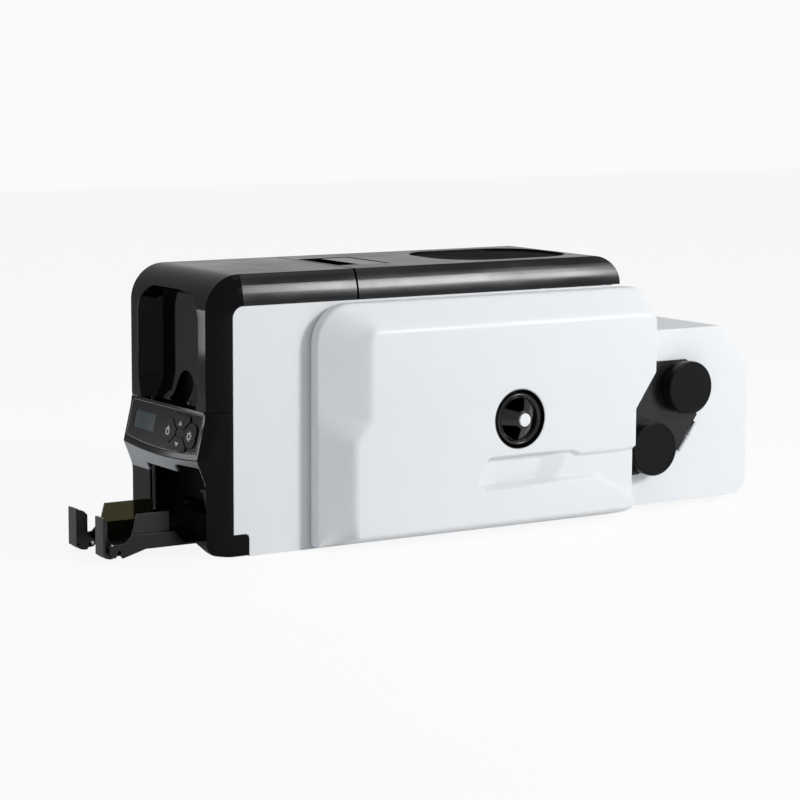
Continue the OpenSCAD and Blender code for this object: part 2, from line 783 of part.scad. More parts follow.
// Square fan frame with its spider and bearing pin
module fan_frame() {
  color([0.1, 0.1, 0.1]) place() translate([fan_x, fan_back, strip_z]) rotate([90, 0, 0]) {
    difference() {
      translate([0, 0, 0]) linear_extrude(fan_t) difference() {
        square(fan_w, center = true);
        circle(18.3);
      }
    }
    linear_extrude(1.5) {
      circle(7);
      for (a = [45:90:315]) rotate(a) translate([0, -1]) square([19, 2]);
    }
    cylinder(r = rotor_pin_r, h = fan_t);
  }
}

// Bladed rotor
module fan_rotor() {
  color([0.15, 0.15, 0.15]) place() translate([fan_x, fan_back - 2, strip_z]) rotate([90, 0, 0]) difference() {
    union() {
      cylinder(r = 8, h = fan_t - 2.5);
      for (a = [0:72:359]) rotate(a) translate([5, -0.8, 1]) rotate([35, 0, 0]) cube([12, 1.4, 6]);
    }
    translate([0, 0, -1]) cylinder(r = rotor_pin_r + run_gap, h = fan_t);
  }
}

// Electronics -----------------------------------------------------------------------

power_y = [rear_y - 156, rear_y - 46];
power_half_w = 56;
board_half_w = 60;
board_y = [110, power_y[0] - 20];
standoff_h = 8;
board_top = base_top + standoff_h + board_t;

// Main circuit board on standoffs over the base plate
module mainboard() {
  color([0.1, 0.35, 0.2]) place() {
    block([-board_half_w, board_half_w], board_y, [base_top + standoff_h, board_top]);
    for (side = [-1, 1], y = [board_y[0] + 6, board_y[1] - 6])
      translate([side * (board_half_w - 6), y, base_top]) cylinder(r = 3, h = standoff_h);
    block([-40, -10], [board_y[0] + 30, board_y[0] + 60], [board_top, board_top + 2.4]);
    block([10, 30], [board_y[0] + 90, board_y[0] + 104], [board_top, board_top + 3.4]);
    for (i = [0:3]) translate([45, board_y[0] + 20 + i * 16, board_top]) cylinder(r = 5, h = 14);
  }
}

// Enclosed power supply
module power_supply() {
  color([0.7, 0.71, 0.72]) place() block([-power_half_w, power_half_w], power_y, [base_top, base_top + 50]);
}

// Card path ---------------------------------------------------------------------------

frame_front = 4;
frame_rear = rear_y - 14;
frame_top = shoulder_z - 18;
rail_y = [frame_front + 16, frame_front + 91, frame_rear - 22];
rail_z = [base_top + 26, frame_top - 35];
rails = [[rail_y[0], rail_z[0]], [rail_y[1], rail_z[1]], [rail_y[2], rail_z[0]], [rail_y[2], rail_z[1]]];
roller_front_y = wheel_y - 115;
roller_rear_y = wheel_y + 85;
motor_y = wheel_y - 57;
motor_z = feed_z - 41;
head_pivot_y = wheel_y + 35;
head_pivot_z = feed_z + 56;
supply_y = wheel_y - 65;
takeup_y = wheel_y + 72;
ribbon_z = feed_z + 90;
pulley_r = 8;
belt_x = [-frame_half_w - 13, -frame_half_w - 7];

// Every hole that a shaft runs in: [along, height, radius]
frame_bores = [[pick_y, pick_z, shaft_r], [roller_front_y, feed_z, shaft_r], [wheel_y, feed_z, shaft_r],
  [roller_rear_y, feed_z, shaft_r], [head_pivot_y, head_pivot_z, shaft_r],
  [supply_y, ribbon_z, shaft_r], [takeup_y, ribbon_z, shaft_r]];

// Steel side plate of the mechanism; side is -1 left, 1 right
module mech_frame(side) {
  x = side > 0 ? [frame_half_w, frame_half_w + frame_t] : [-frame_half_w - frame_t, -frame_half_w];
  color([0.72, 0.73, 0.75]) place() difference() {
    block(x, [frame_front, frame_rear], [base_top, frame_top]);
    for (b = frame_bores) cross_rod([x[0] - 1, x[1] + 1], b[0], b[1], b[2] + run_gap);
    for (r = rails) cross_rod([x[0] - 1, x[1] + 1], r[0], r[1], 2.5);
    block([x[0] - 1, x[1] + 1], [60, 170], [30, 110]);
    block([x[0] - 1, x[1] + 1], [130, 200], [160, frame_top - 15]);
    if (side < 0) cross_rod([x[0] - 1, x[1] + 1], motor_y, motor_z, 11);
  }
}

module mech_frame_left() { mech_frame(-1); }
module mech_frame_right() { mech_frame(1); }

// Tie rods with shoulders that hold the two frames apart
module tie_rods() {
  color("silver") place() for (r = rails) {
    cross_rod([-frame_half_w, frame_half_w], r[0], r[1], 4);
    cross_rod([-frame_half_w - frame_t - 1.5, frame_half_w + frame_t + 1.5], r[0], r[1], 2.45);
  }
}

// Rubber-covered feed roller with its belt pulley at the left end
module feed_roller(y, right_end) {
  color([0.28, 0.28, 0.3]) place() {
    cross_rod([-30, 30], y, feed_z, roller_r);
    cross_rod([-frame_half_w - 15, right_end], y, feed_z, shaft_r);
    cross_rod(belt_x, y, feed_z, pulley_r);
  }
}

module feed_roller_front() { feed_roller(roller_front_y, frame_half_w + 4); }
module feed_roller_middle() { feed_roller(wheel_y, wheel_tip - 12); }
module feed_roller_rear() { feed_roller(roller_rear_y, frame_half_w + 4); }

// Stepper motor bolted inside the left frame
module feed_motor() {
  color([0.2, 0.2, 0.21]) place() difference() {
    block([-frame_half_w, -frame_half_w + 40], [motor_y - 21, motor_y + 21], [motor_z - 21, motor_z + 21]);
    cross_rod([-frame_half_w - 1, -frame_half_w + 20], motor_y, motor_z, 2.5 + run_gap);
  }
}

// Motor shaft with its belt pulley
module motor_pulley() {
  color("silver") place() {
    cross_rod([-frame_half_w - 15, -frame_half_w + 19], motor_y, motor_z, 2.5);
    cross_rod(belt_x, motor_y, motor_z, pulley_r);
  }
}

// Stretches a loop round the pulleys
module belt_loop(r) {
  hull()
    for (p = [[roller_front_y, feed_z], [roller_rear_y, feed_z], [motor_y, motor_z]])
      translate(p) circle(r, $fn = 48);
}

// Toothed belt from the motor round the feed rollers
module drive_belt() {
  color([0.08, 0.08, 0.08]) place()
    side_extrude([belt_x[0] + 0.5, belt_x[1] - 0.5])
      difference() { belt_loop(pulley_r + 1.8); belt_loop(pulley_r + 0.3); }
}

// Thermal head on its lifting arms
module print_head() {
  color([0.35, 0.36, 0.38]) place() {
    cross_rod([-frame_half_w - 4, frame_half_w + 4], head_pivot_y, head_pivot_z, shaft_r);
    block([-34, 34], [wheel_y - 12, wheel_y + 12], [feed_z + roller_r + 1, feed_z + 42]);
    for (x = [-34, 30]) side_extrude([x, x + 4])
      polygon([[wheel_y - 10, feed_z + 30], [wheel_y + 12, feed_z + 30], [head_pivot_y + 6, head_pivot_z - 5],
        [head_pivot_y + 6, head_pivot_z + 7], [wheel_y - 10, feed_z + 42]]);
  }
}

// Ribbon core with what is wound on it
module ribbon(y, r) {
  color([0.5, 0.45, 0.2]) place() {
    cross_rod([-30, 30], y, ribbon_z, r);
    cross_rod([-40, 40], y, ribbon_z, 8);
    cross_rod([-frame_half_w - 4, frame_half_w + 4], y, ribbon_z, shaft_r);
  }
}

module ribbon_supply() { ribbon(supply_y, 24); }
module ribbon_takeup() { ribbon(takeup_y, 15); }

// Hand wheel ----------------------------------------------------------------------------

rim_r = 28.6;
rim_x = [door_face - 11, door_face - 1];
hub_r = 9.5;
cap_r = 7.2;
spoke_w = 16;

// Black jam-clearing wheel: a rim and three spokes that rise to the hub
module hand_wheel() {
  hub_top = wheel_tip - 1.5;
  color([0.06, 0.06, 0.06]) place() difference() {
    one_body() {
      translate([rim_x[0], wheel_y, feed_z]) rotate([0, 90, 0]) rotate_extrude()
        polygon([[rim_r - 4.5, 0], [rim_r, 0], [rim_r, 8], [rim_r - 1, 10], [rim_r - 4.5, 9]]);
      cross_rod([rim_x[0] + 2, hub_top], wheel_y, feed_z, hub_r);
      intersection() {
        translate([rim_x[0], wheel_y, feed_z]) rotate([0, 90, 0]) rotate_extrude()
          polygon([[hub_r - 1, 12], [hub_r - 1, hub_top - rim_x[0] - 0.6], [rim_r - 1, 7], [rim_r - 1, 3]]);
        for (a = [80, 200, 320])
          translate([rim_x[0] - 1, wheel_y, feed_z]) rotate([a, 0, 0])
            translate([0, -spoke_w / 2, 3]) cube([30, spoke_w, rim_r]);
      }
    }
    cross_rod([rim_x[0] - 1, wheel_tip - 11.9], wheel_y, feed_z, shaft_r + run_gap);
    cross_rod([hub_top - 3, hub_top + 1], wheel_y, feed_z, cap_r);
  }
}

// White cap on the wheel's hub
module wheel_cap() {
  color([0.92, 0.92, 0.93]) place() cross_rod([wheel_tip - 4.5, wheel_tip], wheel_y, feed_z, cap_r - 0.05);
}

// Black cup on the frame behind the wheel
module wheel_well() {
  color([0.04, 0.04, 0.04]) place() difference() {
    cross_rod([frame_half_w + frame_t, rim_x[0] - 3], wheel_y, feed_z, wheel_hole_r + 1.5);
    cross_rod([frame_half_w + frame_t + 6, rim_x[0]], wheel_y, feed_z, wheel_hole_r - 1);
    cross_rod([frame_half_w, rim_x[0]], wheel_y, feed_z, shaft_r + 1);
  }
}

// Side door -------------------------------------------------------------------------------

door_inner = half_w + 0.4;
rim_face = half_w + door_rim;
door_hinge_x = half_w + 7;
door_hinge_y = door_front + 6;
door_hinge_r = 6.5;
door_pin_r = 1.5;
hinge_levels = [50, 200];
hinge_eye_h = 10;
boss_h = 10;

upper_front = door_front + 52;
lower_front = door_front + 34;
lower_rear = door_rear - 27;
bend_front_z = 135;
bend_rear_z = 123;
corner_front_r = 42;
corner_rear_r = 20;
face_r = 10;
face_top = door_top - 27;
face_low = door_low + 8;

// Disc that a corner of the door is stretched over
module door_disc(x, y, z, r) {
  translate([x, y, z]) rotate([0, 90, 0]) cylinder(r = r, h = sliver, $fn = r > 3 ? 48 : 8);
}

// Upper half of the door, t inside its skin
module door_upper(t) {
  inner = door_inner - 2 * t;
  hull() {
    for (x = [inner, rim_face - t]) {
      door_disc(x, door_front + corner_front_r, door_top - corner_front_r, corner_front_r - t);
      door_disc(x, door_rear - corner_rear_r, door_top - corner_rear_r, corner_rear_r - t);
      door_disc(x, door_front + t + 1, bend_front_z + 2, 1);
      door_disc(x, door_rear - t - 2, bend_rear_z + 39, 2);
      door_disc(x, lower_rear - t - 1, bend_rear_z, 1);
    }
    door_disc(door_face - t - sliver, upper_front + face_r, face_top - face_r, face_r - t / 2);
    door_disc(door_face - t - sliver, door_rear - face_r, face_top - face_r, face_r - t);
    door_disc(door_face - t - sliver, upper_front + t / 2 + 1, bend_front_z, 1);
    door_disc(door_face - t - sliver, door_rear - t - 2, bend_rear_z + 39, 2);
    door_disc(door_face - t - sliver, lower_rear - t - 1, bend_rear_z, 1);
  }
}

// Lower half of the door, t inside its skin
module door_lower(t) {
  inner = door_inner - 2 * t;
  hull() {
    for (x = [inner, rim_face - t]) {
      door_disc(x, door_front + t + 1, bend_front_z + 2, 1);
      door_disc(x, lower_rear - t - 1, bend_rear_z, 1);
      door_disc(x, door_front + t + 4, door_low + t + 4, 4);
      door_disc(x, lower_rear - t - 12, door_low + t + 12, 12);
    }
    door_disc(door_face - t - sliver, upper_front + t / 2 + 1, bend_front_z, 1);
    door_disc(door_face - t - sliver, lower_rear - t - 1, bend_rear_z, 1);
    door_disc(door_face - t - sliver, lower_front + t / 2 + 1, bend_front_z - 21, 1);
    door_disc(door_face - t - sliver, lower_front + t / 2 + 5, face_low + t + 5, 5);
    door_disc(door_face - t - sliver, lower_rear - t - 14, face_low + t + 8, 8);
  }
}

grip_y = lower_rear - 213;
grip_z = 50;
grip_h = 36;
grip_deep = 14;
grip_shallow = 6;

// Grip recess seen from the side, open at the door's rear edge
module grip_outline(grow) {
  polygon([[grip_y - grow, grip_z + 11], [grip_y + 7, grip_z - grow], [grip_y + 156, grip_z + 3 - grow],
    [lower_rear + 10, grip_z - 33 - grow], [lower_rear + 10, grip_z + grip_h + grow],
    [grip_y + 196, grip_z + grip_h - 5 + grow], [grip_y + 134, grip_z + grip_h - 5 + grow],
    [grip_y + 124, grip_z + grip_h + grow], [grip_y + 16, grip_z + grip_h + grow],
    [grip_y + 10 - grow, grip_z + grip_h - 4 + grow]]);
}

// Grip recess seen from above: deep at the front, then a ramp, then shallow
module grip_plan(grow, top) {
  polygon([[door_face - grip_deep - grow, grip_y - 10], [door_face - grip_deep - grow, grip_y + 78],
    [door_face - grip_shallow - grow, grip_y + 110], [door_face - grip_shallow - grow, lower_rear + 10],
    [door_face + top, lower_rear + 10], [door_face + top, grip_y - 10]]);
}

// Body of the grip recess, or of the wall round it when grown
module grip_form(grow, top) {
  intersection() {
    side_extrude([door_face - 30, door_face + 5]) grip_outline(grow);
    linear_extrude(body_h) grip_plan(grow, top);
  }
}

// White bulged door: a hollow moulding with a round hole and a grip
module side_door() {
  color([0.88, 0.89, 0.91]) place() one_body() difference() {
    union() {
      difference() {
        union() { door_upper(0); door_lower(0); }
        door_upper(skin);
        door_lower(skin);
      }
      intersection() {
        union() { door_upper(0.1); door_lower(0.1); }
        grip_form(skin, 0);
      }
      cross_rod([door_face - 13, door_face - 1], wheel_y, feed_z, wheel_hole_r + 2);
    }
    grip_form(0, 5);
    cross_rod([door_face - 20, door_face + 1], wheel_y, feed_z, wheel_hole_r);
    difference() {
      block([half_w, door_hinge_x], [door_front - 1, door_hinge_y], [0, body_h]);
      translate([door_hinge_x, door_hinge_y, -1]) cylinder(r = door_hinge_r, h = body_h + 2);
    }
  }
}

// Black ring pressed into the door's hole round the wheel
module door_ring() {
  color([0.05, 0.05, 0.05]) place() difference() {
    cross_rod([door_face - 12, door_face + 0.6], wheel_y, feed_z, wheel_hole_r - 0.12);
    cross_rod([door_face - 13, door_face + 2], wheel_y, feed_z, wheel_hole_r - 1.2);
  }
}

// Bosses inside the door's front edge that turn on the hinge pins
module door_knuckles() {
  half = 5;
  color([0.86, 0.87, 0.89]) place() for (level = hinge_levels, side = [-1, 1]) {
    gap = hinge_eye_h / 2 + 0.5;
    z = side > 0 ? [level + gap, level + gap + boss_h] : [level - gap - boss_h, level - gap];
    difference() {
      block([door_hinge_x - half, door_hinge_x + half], [door_front + skin, door_hinge_y + half], z);
      translate([door_hinge_x, door_hinge_y, z[0] - 1]) cylinder(r = door_pin_r + run_gap, h = boss_h + 2);
    }
  }
}

// Steel arms on the right side panel that reach forward to the hinge pins
module door_hinge_arms() {
  eye_r = 3.2;
  color("silver") place() for (level = hinge_levels) translate([0, 0, level - hinge_eye_h / 2]) difference() {
    union() {
      translate([door_hinge_x, door_hinge_y, 0]) cylinder(r = eye_r, h = hinge_eye_h);
      linear_extrude(hinge_eye_h) polygon([[door_hinge_x - eye_r, door_hinge_y],
        [door_hinge_x + eye_r, door_hinge_y], [door_hinge_x + eye_r, door_hinge_y + 28],
        [half_w, door_hinge_y + 28], [half_w, door_hinge_y + 14], [door_hinge_x - eye_r, door_hinge_y + 12]]);
    }
    translate([door_hinge_x, door_hinge_y, -1]) cylinder(r = door_pin_r + run_gap, h = hinge_eye_h + 2);
  }
}

// Steel pins of the door hinge
module door_hinge_pins() {
  color("silver") place() for (level = hinge_levels)
    translate([door_hinge_x, door_hinge_y, level - hinge_eye_h / 2 - boss_h])
      cylinder(r = door_pin_r, h = hinge_eye_h + 2 * boss_h);
}

// Laminating module -------------------------------------------------------------------------

module_skin = 3;
chamfer_w = 42;
chamfer_h = 47;
heel_r = 20;
upper_spool = [rear_y + 88, feed_z + 14];
lower_spool = [rear_y + 38.5, feed_z - 52];
heat_y = rear_y + 142;
heat_z = feed_z + 25.5;
press_z = feed_z - 1;
nip_r = 13;
module_frame_x = 62;

// Side view of the module: sloping rear top, round heel
module module_profile(t) {
  heel = [module_end - heel_r, module_low + heel_r];
  arc = [for (a = [-90:10:0]) [heel[0] + (heel_r - t) * cos(a), heel[1] + (heel_r - t) * sin(a)]];
  lean = t * 0.45;
  polygon(concat([[rear_y + t, module_low + t]], arc, [[module_end - t, module_top - chamfer_h - lean],
    [module_end - chamfer_w - lean, module_top - t], [rear_y + t, module_top - t]]));
}

// White housing of the laminator, docked against the printer's rear
module module_housing() {
  color([0.9, 0.91, 0.93]) place() difference() {
    side_extrude([-half_w, half_w]) module_profile(0);
    side_extrude([-half_w + module_skin, half_w - module_skin]) module_profile(module_skin);
    block([-card_w / 2 - 4, card_w / 2 + 4], [rear_y - 1, rear_y + module_skin + 1], card_gate_z);
    for (s = [upper_spool, lower_spool])
      cross_rod([half_w - module_skin - 1, half_w + 1], s[0], s[1], spool_shaft_r + 1);
  }
}

spool_shaft_r = 5;
plate_t = 2.5;

// Steel plates inside the module that carry its shafts
module module_frames() {
  color([0.72, 0.73, 0.75]) place() for (side = [-1, 1]) {
    x = side > 0 ? [module_frame_x, module_frame_x + 2] : [-module_frame_x - 2, -module_frame_x];
    difference() {
      block(x, [rear_y + 8, rear_y + 158], [module_low + module_skin, module_top - 24]);
      for (s = [upper_spool, lower_spool, [heat_y, heat_z], [heat_y, press_z]])
        cross_rod([x[0] - 1, x[1] + 1], s[0], s[1], spool_shaft_r + run_gap);
    }
  }
}

// Black plate on the module's side round the spool knobs
module spool_plate() {
  color([0.17, 0.18, 0.19]) place() difference() {
    side_extrude([half_w, half_w + plate_t])
      polygon([[rear_y + 32, module_top - 35], [rear_y + 94, module_top - 35],
        [rear_y + 100, module_top - 39], [rear_y + 111, feed_z - 20], [rear_y + 84, feed_z - 58],
        [rear_y + 28, feed_z - 82], [rear_y + 14, feed_z - 82], [rear_y + 6, feed_z - 70],
        [rear_y + 6, feed_z - 16], [rear_y + 32, feed_z + 24]]);
    for (s = [upper_spool, lower_spool])
      cross_rod([half_w - 1, half_w + plate_t + 1], s[0], s[1], spool_shaft_r + 1);
  }
}

// Film spool through the module, with its knob outside
module film_spool(place_yz, roll_r) {
  knob_x = half_w + plate_t + 0.6;
  color([0.17, 0.18, 0.19]) place() {
    cross_rod([-module_frame_x - 6, knob_x + 1], place_yz[0], place_yz[1], spool_shaft_r);
    cross_rod([-35, 35], place_yz[0], place_yz[1], roll_r);
    cross_rod([knob_x, knob_x + 5], place_yz[0], place_yz[1], knob_r - 1);
    cross_rod([knob_x + 5, knob_x + 7], place_yz[0], place_yz[1], knob_r - 3);
    cross_rod([knob_x + 7, half_w + knob_proud], place_yz[0], place_yz[1], knob_r);
  }
}

module film_spool_upper() { film_spool(upper_spool, 22); }
module film_spool_lower() { film_spool(lower_spool, 16); }

// Heated roller of the laminator
module heat_roller() {
  color([0.5, 0.5, 0.52]) place() {
    cross_rod([-40, 40], heat_y, heat_z, nip_r);
    cross_rod([-module_frame_x - 6, module_frame_x + 6], heat_y, heat_z, spool_shaft_r);
  }
}

// Rubber roller that presses the card against the heated one
module pressure_roller() {
  color([0.7, 0.3, 0.2]) place() {
    cross_rod([-40, 40], heat_y, press_z, nip_r);
    cross_rod([-module_frame_x - 6, module_frame_x + 6], heat_y, press_z, spool_shaft_r);
  }
}

// Output tray ---------------------------------------------------------------------------------

tray_left = tray_x - tray_w / 2;
tray_right = tray_x + tray_w / 2;
tray_wall = 3;
tray_floor_y = tray_front + 27;
tray_floor_z = [10.2, 12.8];
guide_wall = 2;
stop_y = tray_front + 18;
stop_z = 9;
stop_pin_r = 2;
stop_w = 19;
stop_t = 2.5;

// Low outer wall of the tray seen from the side
module tray_wall_outline() {
  polygon([[bulkhead_y, 10], [tray_front + 48, 10], [tray_front + 22, 2.6], [tray_front + 19, 6],
    [tray_front + 15, 5.5], [tray_front + 14, 3.5], [tray_front + 10, 5], [tray_front + 7, 8.5],
    [tray_front + 7, 16], [tray_front + 26, 18], [tray_front + 34, 26], [tray_front + 82, 26],
    [tray_front + 92, 13], [bulkhead_y, 13]]);
}

// Tall card guide seen from the side, up to a rear end
module card_guide_outline(rear) {
  polygon([[tray_front + 30, 12], [rear, 12], [rear, 46.5], [tray_front + 39.5, 46.5]]);
}

// Tray that catches the finished cards
module output_tray() {
  color([0.08, 0.08, 0.09]) place() {
    for (x = [tray_left, tray_right - tray_wall]) side_extrude([x, x + tray_wall]) tray_wall_outline();
    side_extrude([tray_left + tray_wall, tray_left + tray_wall + guide_wall])
      card_guide_outline(-front_reach - 1);
    side_extrude([tray_right - tray_wall - guide_wall, tray_right - tray_wall])
      card_guide_outline(-front_reach - 20.5);
    block([tray_left + tray_wall - sliver, tray_right - tray_wall + sliver], [tray_floor_y, bulkhead_y],
      tray_floor_z);
    cross_rod([tray_left, tray_left + stop_w], stop_y, stop_z, stop_pin_r);
    cross_rod([tray_right - stop_w, tray_right], stop_y, stop_z, stop_pin_r);
  }
}

// Side view of a card stop's lower arm, which curls back under the pivot
module stop_arm_outline(low) {
  polygon([[tray_front, low + 4], [tray_front + 1.5, low + 1], [tray_front + 5, low - 1.5],
    [tray_front + 9, low - 2.5], [tray_front + 13, low - 2.2], [tray_front + 13.5, low - 0.5],
    [stop_y, low], [stop_y, low + 5], [tray_front + 11, low + 3], [tray_front + 6, low + 3.2],
    [tray_front + stop_t, low + 6]]);
}

// Upright hook that stops the cards, pivoted on the tray; side is -1 left, 1 right
module card_stop(side) {
  plate_x = side > 0 ? [tray_right - stop_w, tray_right] : [tray_left, tray_left + stop_w];
  eye_x = side > 0 ? [tray_right - stop_w, tray_right - tray_wall - 0.4]
    : [tray_left + tray_wall + 0.4, tray_left + stop_w];
  web_x = side > 0 ? [plate_x[0], plate_x[0] + 2.5] : [plate_x[1] - 2.5, plate_x[1]];
  low = stop_z - 4;
  color([0.12, 0.13, 0.14]) place() difference() {
    union() {
      block(plate_x, [tray_front, tray_front + stop_t], [low + 2, low + 3 + stop_h]);
      side_extrude(eye_x) stop_arm_outline(low);
      cross_rod(eye_x, stop_y, stop_z, 4);
      side_extrude(web_x) polygon([[tray_front + 1, low + 3], [stop_y - 2, low + 2], [stop_y, stop_z + 4],
        [tray_front + 13, 22], [tray_front + 13, low + stop_h - 4], [tray_front + 9, low + stop_h],
        [tray_front + 1, low + 3 + stop_h]]);
    }
    cross_rod([plate_x[0] - 1, plate_x[1] + 1], stop_y, stop_z, stop_pin_r + run_gap);
  }
}

module card_stop_left() { card_stop(-1); }
module card_stop_right() { card_stop(1); }

// Drawing the nodes -----------------------------------------------------------------------

base_plate();
feet();
side_panel_left();
side_panel_right();
lower_bezel();
front_bulkhead();
control_panel();
display();
button_hub();
button_up();
button_down();
button_left();
button_right();
hopper_cover();
cover_hinge_pins();
card_hopper();
pick_roller();
top_cover_front();
top_cover_rear();
vent_grille();
latch_paddle();
cover_hinge_ears();
rear_panel();
power_inlet();
data_ports();
power_switch();
fan_frame();
fan_rotor();
mainboard();
power_supply();
mech_frame_left();
mech_frame_right();
tie_rods();
feed_roller_front();
feed_roller_middle();
feed_roller_rear();
feed_motor();
motor_pulley();
drive_belt();
print_head();
ribbon_supply();
ribbon_takeup();
hand_wheel();
wheel_cap();
wheel_well();
side_door();
door_ring();
door_knuckles();
door_hinge_arms();
door_hinge_pins();
module_housing();
module_frames();
spool_plate();
film_spool_upper();
film_spool_lower();
heat_roller();
pressure_roller();
output_tray();
card_stop_left();
card_stop_right();
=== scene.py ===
"""Looks for the id card printer: finishes, moulded detail, studio and camera."""
import json
import math

import bpy
import numpy as np
from mathutils import Matrix, Vector
from mathutils.geometry import delaunay_2d_cdt


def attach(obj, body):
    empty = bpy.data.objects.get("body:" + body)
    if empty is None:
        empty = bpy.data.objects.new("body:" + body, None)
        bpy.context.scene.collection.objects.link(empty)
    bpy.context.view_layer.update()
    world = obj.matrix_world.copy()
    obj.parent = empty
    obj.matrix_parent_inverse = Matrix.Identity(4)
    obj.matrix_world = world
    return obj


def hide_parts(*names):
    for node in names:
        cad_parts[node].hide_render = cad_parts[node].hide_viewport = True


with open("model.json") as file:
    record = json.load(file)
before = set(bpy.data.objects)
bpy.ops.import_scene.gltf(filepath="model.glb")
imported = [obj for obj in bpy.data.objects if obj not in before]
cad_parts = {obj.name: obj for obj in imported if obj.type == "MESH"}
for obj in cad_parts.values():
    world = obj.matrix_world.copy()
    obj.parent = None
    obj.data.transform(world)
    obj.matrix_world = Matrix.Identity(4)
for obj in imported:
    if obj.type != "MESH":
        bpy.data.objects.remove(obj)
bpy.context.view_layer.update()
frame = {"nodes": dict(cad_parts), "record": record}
nodes = frame["nodes"]

MM = 0.001
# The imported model's origin is under its middle; the printer's own datum is the front top seam.
DATUM = np.array([-24.75, -263.0, 0.0])


# Casing and mechanism -----------------------------------------------------------------------------
# Moulded plastic, pressed steel, rubber rollers and film, as the CAD shapes them. A fine grain, slow
# cloudiness and a slight change of gloss stand for what the mould or the press leaves.

DRIFT_SCALE = 11.0
DRIFT_FROM, DRIFT_TO = 0.3, 0.7


def node(tree, kind, **values):
    """A shader node of that kind with its sockets or settings filled in."""
    made = tree.nodes.new(kind)
    for key, value in values.items():
        if key in made.inputs:
            made.inputs[key].default_value = value
        else:
            setattr(made, key, value)
    return made


def finish(name, colour, rough, metal=0.0, grain=0.45, depth=0.012, cloud=0.06, gloss_drift=0.06,
           specular=0.5, stretch=(1, 1, 1)):
    """Procedural finish. Grain size and depth are in millimetres; cloud is the share by which the
    colour drifts over a hand's width, and gloss_drift how far the roughness drifts with it."""
    material = bpy.data.materials.new(name)
    material.use_nodes = True
    tree = material.node_tree
    shader = tree.nodes["Principled BSDF"]
    shader.inputs["Metallic"].default_value = metal
    shader.inputs["Specular IOR Level"].default_value = specular
    place = node(tree, "ShaderNodeTexCoord")
    scaled = node(tree, "ShaderNodeMapping", Scale=stretch)
    slow = node(tree, "ShaderNodeTexNoise", Scale=DRIFT_SCALE, Detail=3.0, Roughness=0.55)
    fine = node(tree, "ShaderNodeTexNoise", Scale=1.0 / (grain * MM), Detail=2.0, Roughness=0.5)
    tree.links.new(place.outputs["Object"], scaled.inputs["Vector"])
    tree.links.new(place.outputs["Object"], slow.inputs["Vector"])
    tree.links.new(scaled.outputs["Vector"], fine.inputs["Vector"])

    def drifting(low, high):
        """The slow noise as a value between low and high."""
        spread = node(tree, "ShaderNodeMapRange")
        ends = {"From Min": DRIFT_FROM, "From Max": DRIFT_TO, "To Min": low, "To Max": high}
        for socket, value in ends.items():
            spread.inputs[socket].default_value = value
        tree.links.new(slow.outputs["Fac"], spread.inputs["Value"])
        return spread.outputs["Result"]

    paint = node(tree, "ShaderNodeVectorMath", operation="SCALE")
    paint.inputs[0].default_value = colour
    tree.links.new(drifting(1.0 - cloud, 1.0 + cloud), paint.inputs["Scale"])
    tree.links.new(paint.outputs["Vector"], shader.inputs["Base Color"])
    tree.links.new(drifting(max(rough - gloss_drift, 0.02), rough + gloss_drift), shader.inputs["Roughness"])
    relief = node(tree, "ShaderNodeBump", Strength=1.0, Distance=depth * MM)
    tree.links.new(fine.outputs["Fac"], relief.inputs["Height"])
    tree.links.new(relief.outputs["Normal"], shader.inputs["Normal"])
    return material


FINISHES = {
    "satin_black": finish("satin_black", (0.0045, 0.0045, 0.005), 0.2, grain=0.5, depth=0.004, specular=0.3),
    "gloss_black": finish("gloss_black", (0.0025, 0.0025, 0.003), 0.07, grain=3.0, depth=0.002, specular=0.1,
                          gloss_drift=0.02),
    "matte_black": finish("matte_black", (0.004, 0.004, 0.0045), 0.6, grain=0.6, depth=0.03, specular=0.06),
    "white_plastic": finish("white_plastic", (0.79, 0.81, 0.83), 0.42, grain=0.5, depth=0.015, cloud=0.006),
    "panel_black": finish("panel_black", (0.004, 0.004, 0.0045), 0.25, grain=0.4, depth=0.006, specular=0.08),
    "lcd_glass": finish("lcd_glass", (0.028, 0.052, 0.064), 0.15, grain=2.0, depth=0.002, specular=0.25),
    "button_black": finish("button_black", (0.004, 0.004, 0.0045), 0.3, grain=0.4, depth=0.01, specular=0.1),
    "dark_grey": finish("dark_grey", (0.007, 0.0075, 0.0085), 0.3, grain=0.5, depth=0.015, specular=0.4),
    "cap_white": finish("cap_white", (0.84, 0.85, 0.86), 0.35, grain=0.5, depth=0.01, cloud=0.008),
    "steel": finish("steel", (0.62, 0.63, 0.65), 0.25, metal=1.0, grain=0.5, stretch=(0.1, 1, 1)),
    "sheet_steel": finish("sheet_steel", (0.45, 0.46, 0.48), 0.38, metal=1.0, grain=0.7, stretch=(1, 0.1, 1)),
    "foot_rubber": finish("foot_rubber", (0.02, 0.02, 0.02), 0.7, grain=0.8, depth=0.04),
    "roller_rubber": finish("roller_rubber", (0.05, 0.05, 0.055), 0.55, grain=0.6, depth=0.04),
    "nip_rubber": finish("nip_rubber", (0.35, 0.07, 0.04), 0.4, grain=0.6, depth=0.02),
    "board_green": finish("board_green", (0.02, 0.12, 0.05), 0.35, grain=1.2, depth=0.02),
    "ribbon_film": finish("ribbon_film", (0.07, 0.05, 0.015), 0.2, grain=0.2, stretch=(1, 6, 6)),
    "motor_black": finish("motor_black", (0.03, 0.03, 0.033), 0.42, grain=0.6, depth=0.03),
    "head_metal": finish("head_metal", (0.5, 0.51, 0.53), 0.35, metal=1.0, grain=0.6),
    "port_metal": finish("port_metal", (0.6, 0.6, 0.62), 0.2, metal=1.0, grain=0.6),
}


